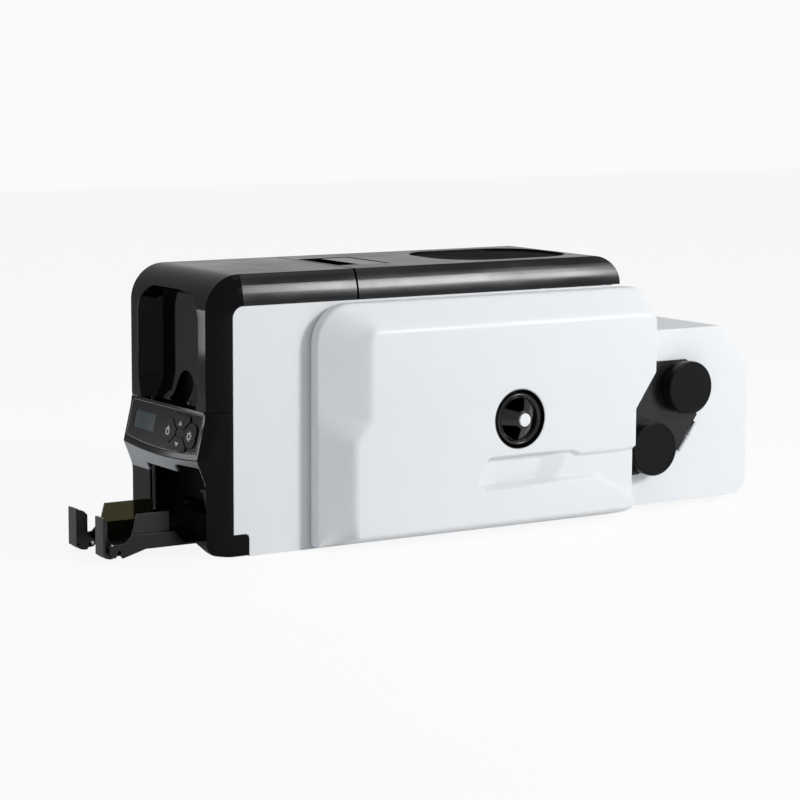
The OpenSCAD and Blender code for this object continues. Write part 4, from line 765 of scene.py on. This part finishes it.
# Hand wheel ---------------------------------------------------------------------------------------
# Glossy black wheel of one moulding: a rim with a ribbed grip, a shallow cone of three broad
# spokes and a hub that takes the white cap. A smooth collar lines the hole in the door.

SPOKE_TURNS = (80, 200, 320)
GRIP_RIBS, RIB_DEPTH = 40, 0.45
HUB_R, CAP_R = 9.5, 7.25
SPOKE_T = 3.0
FINISHES["wheel_black"] = finish("wheel_black", (0.004, 0.004, 0.0045), 0.12, grain=2.0, depth=0.003)


def rib(angles):
    """Change of the grip's radius at an angle: the square of a raised cosine, GRIP_RIBS to the turn."""
    return -RIB_DEPTH * (0.5 + 0.5 * np.cos(GRIP_RIBS * angles)) ** 2


def arc(start, end, radius, steps):
    """Points on an arc about the wheel's axis, between two turns in degrees from the top."""
    turns = np.radians(np.linspace(start, end, steps))
    return np.column_stack([-np.sin(turns), np.cos(turns)]) * radius + WHEEL_AT


rim_profile = round_corners([(120.5, 24.2, 0.8), (129.0, 23.4, 0.8), (130.9, 26.2, 1.2), (129.6, 28.6, 1.2),
                             (120.5, 28.6, 0.8)], 4)
grip_points = np.flatnonzero(rim_profile[:, 1] > 27.9)
build("hand_wheel_rim", *turned(rim_profile, WHEEL_AT, 240, (grip_points, rib)), "wheel_black",
      "feed_roller_middle", ["hand_wheel"], 40)
gaps = [np.vstack([arc(turn + 44, turn + 76, 10.2, 8), arc(turn + 97, turn + 23, 23.0, 24)])
        for turn in SPOKE_TURNS]
plan, faces = sheet(circle(*WHEEL_AT, 25.5, 96), [circle(*WHEEL_AT, r, 64) for r in (HUB_R, 11, 24)],
                    [circle(*WHEEL_AT, CAP_R, 40)] + gaps, spacing=2.5)
cone = np.interp(np.linalg.norm(plan - WHEEL_AT, axis=1), [0, HUB_R, 24, 25.5], [139.3, 139.3, 128.6, 128.0])
spokes = build("hand_wheel_spokes", np.column_stack([cone, plan]), faces, "wheel_black",
               "feed_roller_middle", sharp=30)
thicken(spokes, SPOKE_T)
hub = round_corners([(118.5, 4.6, 0.4), (136.0, 4.6, 0), (136.0, CAP_R, 0), (139.5, CAP_R, 0.3),
                     (139.5, HUB_R, 0.8), (118.5, HUB_R, 0.4)], 3)
cap = round_corners([(136.6, 0.02, 0), (141.0, 0.02, 0), (141.0, 7.1, 1.0), (136.6, 7.1, 0.2)], 5)
collar = round_corners([(119.6, 29.9, 0.3), (126.0, 29.9, 2.0), (131.7, 31.3, 0.3), (131.7, 31.8, 0.2),
                        (119.6, 31.8, 0.3)], 5)
build("hand_wheel_hub", *turned(hub, WHEEL_AT, 64), "wheel_black", "feed_roller_middle", sharp=40)
build("wheel_cap_button", *turned(cap, WHEEL_AT, 64), "cap_white", "feed_roller_middle", ["wheel_cap"], 40)
build("door_collar", *turned(collar, WHEEL_AT, 128), "wheel_black", "side_door", ["door_ring"], 40)


# Film spools --------------------------------------------------------------------------------------
# Each spool is a turned arbor with a roll of film and a capped black knob, grooved near its root; it
# is pushed through the black moulded plate from the door side.

SPOOLS = {"film_spool_upper": ((564.0, 138.5), 22.0), "film_spool_lower": ((514.5, 72.5), 16.0)}
CORE_R, FILM_HALF_W = 5.0, 35.0
FINISHES["knob_black"] = finish("knob_black", (0.006, 0.0065, 0.007), 0.3, grain=0.5, depth=0.01,
                                specular=0.1)

for name, (centre, roll_r) in SPOOLS.items():
    profile = round_corners([(-68, 0.05, 0), (111.1, 0.05, 0), (111.1, 27.2, 0.4), (111.5, 27.6, 0.2),
                             (111.5, 30.0, 1.3), (101.6, 30.0, 0.7), (101.0, 27.4, 0.3), (99.8, 27.4, 0.3),
                             (99.4, 29.2, 0.6), (94.7, 29.2, 0.5), (94.7, CORE_R, 0.2),
                             (FILM_HALF_W, CORE_R, 0), (FILM_HALF_W, roll_r, 0.3),
                             (-FILM_HALF_W, roll_r, 0.3), (-FILM_HALF_W, CORE_R, 0), (-68, CORE_R, 0.5)], 4)
    build(name + "_turned", *turned(profile, centre, 128), "knob_black", name, [name], 35)


# Output tray and card stops -----------------------------------------------------------------------
# Two black moulded side walls with a floor between them, a smoky clear guide inside the left wall and
# a dark grey one inside the right, and at the front two moulded hooks that tilt on bright steel pins.

TRAY_LEFT, TRAY_RIGHT, TRAY_FRONT = -38.0, 44.0, -136.0
WALL, GUIDE, STOP_W, STOP_T, WEB = 3.0, 2.0, 19.0, 2.5, 2.5
LET_IN = 0.5
EYE_GAP = 3.4
PIN_AT, PIN_R, EYE_R = (TRAY_FRONT + 18, 9.0), 2.0, 4.0
STOP_LOW = 5.0
FINISHES["tray_black"] = finish("tray_black", (0.004, 0.004, 0.0045), 0.2, grain=0.5, depth=0.008,
                                specular=0.35)
SMOKY = finish("smoky", (0.07, 0.068, 0.035), 0.08, grain=2.0, depth=0.002, specular=0.35)
SMOKY.node_tree.nodes["Principled BSDF"].inputs["Transmission Weight"].default_value = 0.75
SMOKY.node_tree.nodes["Principled BSDF"].inputs["IOR"].default_value = 1.3
FINISHES["smoky"] = SMOKY


def slab(outline, low, high, edge=0.6, spacing=12.0):
    """Plate between x = low and x = high whose outline in (y, z) runs anticlockwise, with both of its
    edges rolled over by a quarter turn of radius edge."""
    outline = np.array(outline, float)
    plan, faces = sheet(outline, spacing=spacing)
    loop = np.array(edge_loops(faces)[0])
    rim = plan[loop]
    sides = inward(rim)
    rings, x_of = [], []
    for a in np.radians([90, 60, 30, 0]):
        rings.append(rim + sides * edge * (1 - math.cos(a)))
        x_of.append(high - edge + edge * math.sin(a))
    rings += rings[::-1]
    x_of += [low + high - x for x in x_of[::-1]]
    body = np.concatenate([np.column_stack([np.full(len(rim), x), ring]) for x, ring in zip(x_of, rings)])
    wall = grid_faces(len(rings), len(rim), False, True)
    flat = plan.copy()
    flat[loop] += sides * edge
    top = np.column_stack([np.full(len(plan), high), flat])
    bottom = np.column_stack([np.full(len(plan), low), flat])
    return joined((top, faces), (bottom, faces[:, ::-1]), (body, wall[:, ::-1]))


def from_front(outline, spacing):
    """Outline whose y is measured from the tray's front, in the printer's datum, with points added."""
    return resample(np.array(outline, float) + [TRAY_FRONT, 0], spacing)


tray_side = from_front([(7, 8.5), (10, 5), (14, 3.5), (15, 5.5), (19, 6), (22, 2.6), (48, 10), (127, 10),
                        (127, 13), (92, 13), (82, 26), (34, 26), (26, 18), (7, 16)], 6)
tray_parts = [slab(tray_side, x, x + WALL, 0.6) for x in (TRAY_LEFT, TRAY_RIGHT - WALL)]
floor_side = np.array([(27, 10.2), (127, 10.2), (127, 12.8), (27, 12.8)]) + [TRAY_FRONT, 0]
tray_parts.append(slab(floor_side, TRAY_LEFT + WALL - LET_IN, TRAY_RIGHT - WALL + LET_IN, 0.2))
pins = [turned([(x, 0.02), (x + STOP_W, 0.02), (x + STOP_W, PIN_R), (x, PIN_R)], PIN_AT, 24)
        for x in (TRAY_LEFT, TRAY_RIGHT - STOP_W)]
build("output_tray_moulding", *joined(*tray_parts), "tray_black", "printer", ["output_tray"], 35)
build("output_tray_pins", *joined(*pins), "steel", "printer", sharp=40)
for name, low, length, guide_finish in (("card_guide_left", TRAY_LEFT + WALL, 96.0, "smoky"),
                                        ("card_guide_right", TRAY_RIGHT - WALL - GUIDE, 76.5, "dark_grey")):
    outline = from_front([(30, 12), (length, 12), (length, 46.5), (39.5, 46.5)], 6)
    build(name, *slab(outline, low, low + GUIDE, 0.4), guide_finish, "printer", sharp=35)

low = STOP_LOW
plate_side = from_front([(0, 7), (STOP_T, 7), (STOP_T, 46), (0, 46)], 6)
arm_side = from_front([(0, low + 4), (1.5, low + 1), (5, low - 1.5), (9, low - 2.5), (13, low - 2.2),
                       (13.5, low - 0.5), (18, low), (18, low + 5), (11, low + 3), (6, low + 3.2),
                       (STOP_T, low + 6)], 3)
web_side = from_front([(1, low + 3), (16, low + 2), (18, 13), (13, 22), (13, low + 34), (9, low + 38),
                       (1, low + 41)], 5)
for name, left, inner_edge, outward in (("card_stop_left", TRAY_LEFT, TRAY_LEFT + STOP_W, -1),
                                        ("card_stop_right", TRAY_RIGHT - STOP_W, TRAY_RIGHT - STOP_W, 1)):
    outer_edge = inner_edge + outward * (STOP_W - EYE_GAP)
    eye = sorted((inner_edge, outer_edge))
    web = sorted((inner_edge, inner_edge + outward * WEB))
    tube = round_corners([(eye[0], PIN_R + 0.1, 0), (eye[1], PIN_R + 0.1, 0), (eye[1], EYE_R, 0.5),
                          (eye[0], EYE_R, 0.5)], 3)
    hook = joined(slab(plate_side, left, left + STOP_W, 0.7), slab(arm_side, *eye, 0.5),
                  slab(web_side, *web, 0.5), turned(tube, PIN_AT, 40))
    build(name + "_hook", *hook, "dark_grey", name, [name], 35)


# Latch bars ---------------------------------------------------------------------------------------
# Two short rods of bright steel bar, set end to end along the sloping rear edge of the spools' plate
# and held in its moulded clips.

BAR_X, BAR_R = 94.6, 1.9
BAR_ENDS = (((583.5, 96.5), (573.7, 81.4)), ((572.6, 79.8), (561.2, 65.6)))

bars = []
for low, high in np.array(BAR_ENDS):
    line = low + (high - low) * np.array([[0], [0.03], [0.5], [0.97], [1]])
    bars.append(wire(np.column_stack([np.full(len(line), BAR_X), line]), BAR_R, 16, closed=False))
build("latch_bars", *joined(*bars), "steel", "printer", sharp=50)


# Studio -------------------------------------------------------------------------------------------
# White sweep, a large soft box above, the key beyond the right of the rear, a narrow fill in front
# and a small window low at the left; the black plastic is drawn by what it mirrors.

BACKDROP, ROOM, ROOM_TINT = 0.955, 0.26, (0.93, 0.96, 1.0, 1)
MIRRORED = 0.42
FLOOR_SHARE = 0.9
HALF_FLOOR = 6.0


def soft_box(name, at, aim, size, watts):
    """Rectangular area light at a point, turned towards another."""
    light = bpy.data.lights.new(name, "AREA")
    light.shape = "RECTANGLE"
    light.size, light.size_y = size
    light.energy = watts
    lamp = bpy.data.objects.new(name, light)
    bpy.context.collection.objects.link(lamp)
    lamp.location = at
    lamp.rotation_euler = (Vector(aim) - Vector(at)).to_track_quat("-Z", "Y").to_euler()


soft_box("overhead", (0.2, 0.3, 1.9), (0, 0, 0.1), (1.8, 2.2), 11)
soft_box("key", (2.19, 1.50, 1.15), (0, 0, 0.15), (0.68, 0.68), 46)
soft_box("front_fill", (0.2, -2.6, 1.0), (0, 0, 0.15), (0.7, 1.2), 1.0)
soft_box("window_strip", (-1.03, -0.93, 0.14), (-0.02, -0.29, 0.22), (0.1, 0.16), 0.25)


def shown(tree):
    """1 for the rays that show a background, the camera's and a clear piece's, and less for a mirror's."""
    path = node(tree, "ShaderNodeLightPath")
    value = path.outputs["Is Camera Ray"]
    for kind, share in (("Is Glossy Ray", MIRRORED), ("Is Transmission Ray", 1.0)):
        part = node(tree, "ShaderNodeMath", operation="MULTIPLY")
        part.inputs[1].default_value = share
        tree.links.new(path.outputs[kind], part.inputs[0])
        either = node(tree, "ShaderNodeMath", operation="MAXIMUM")
        tree.links.new(value, either.inputs[0])
        tree.links.new(part.outputs[0], either.inputs[1])
        value = either.outputs[0]
    return value


world = bpy.data.worlds.new("white_room")
bpy.context.scene.world = world
world.use_nodes = True
sky = world.node_tree
sky.nodes.clear()
seen = node(sky, "ShaderNodeBackground", Color=(1, 1, 1, 1), Strength=BACKDROP)
lit = node(sky, "ShaderNodeBackground", Color=ROOM_TINT, Strength=ROOM)
pick = node(sky, "ShaderNodeMixShader")
sky.links.new(shown(sky), pick.inputs["Fac"])
sky.links.new(lit.outputs[0], pick.inputs[1])
sky.links.new(seen.outputs[0], pick.inputs[2])
sky.links.new(pick.outputs[0], node(sky, "ShaderNodeOutputWorld").inputs["Surface"])


def white_out(material, share):
    """The floor's finish, lifted to the backdrop's white where the camera or a mirror sees it."""
    tree = material.node_tree
    end = tree.nodes["Material Output"]
    shaded = end.inputs["Surface"].links[0].from_socket
    glow = node(tree, "ShaderNodeEmission")
    mix = node(tree, "ShaderNodeMixShader")
    amount = node(tree, "ShaderNodeMath", operation="MULTIPLY")
    amount.inputs[1].default_value = share
    tree.links.new(shown(tree), amount.inputs[0])
    tree.links.new(amount.outputs[0], mix.inputs["Fac"])
    tree.links.new(shaded, mix.inputs[1])
    tree.links.new(glow.outputs[0], mix.inputs[2])
    tree.links.new(mix.outputs[0], end.inputs["Surface"])


floor_mesh = bpy.data.meshes.new("floor")
floor_mesh.from_pydata([(x * HALF_FLOOR, y * HALF_FLOOR, 0) for x, y in ((-1, -1), (1, -1), (1, 1), (-1, 1))],
                       [], [(0, 1, 2, 3)])
floor = bpy.data.objects.new("floor", floor_mesh)
bpy.context.collection.objects.link(floor)
paper = finish("floor_paper", (0.93, 0.93, 0.93), 0.8, grain=4.0, depth=0.05, cloud=0.01)
floor_mesh.materials.append(paper)
white_out(paper, FLOOR_SHARE)


# Camera -------------------------------------------------------------------------------------------
# Long lens to the right of the tray end and a little above the printer's top, set by its azimuth and
# elevation in degrees and a slight roll.

AZIMUTH, ELEVATION, ROLL = 57.43, 7.92, 0.23
CAMERA_AT = np.array([2346.1, -1252.3, 521.5])
LENS, SENSOR = 115.4, 36.0

az, el, roll = (math.radians(a) for a in (AZIMUTH, ELEVATION, ROLL))
back = Vector((math.sin(az) * math.cos(el), -math.cos(az) * math.cos(el), math.sin(el)))
level = Vector((math.cos(az), math.sin(az), 0))
plumb = back.cross(level)
right = level * math.cos(roll) + plumb * math.sin(roll)
up = plumb * math.cos(roll) - level * math.sin(roll)
lens = bpy.data.cameras.new("camera")
lens.lens = LENS
lens.sensor_width = SENSOR
lens.clip_end = 50
camera = bpy.data.objects.new("camera", lens)
bpy.context.collection.objects.link(camera)
turn = Matrix((right, up, back)).transposed()
camera.matrix_world = Matrix.Translation(Vector((CAMERA_AT + DATUM) * MM)) @ turn.to_4x4()
bpy.context.scene.camera = camera
bpy.context.scene.view_settings.view_transform = "Standard"
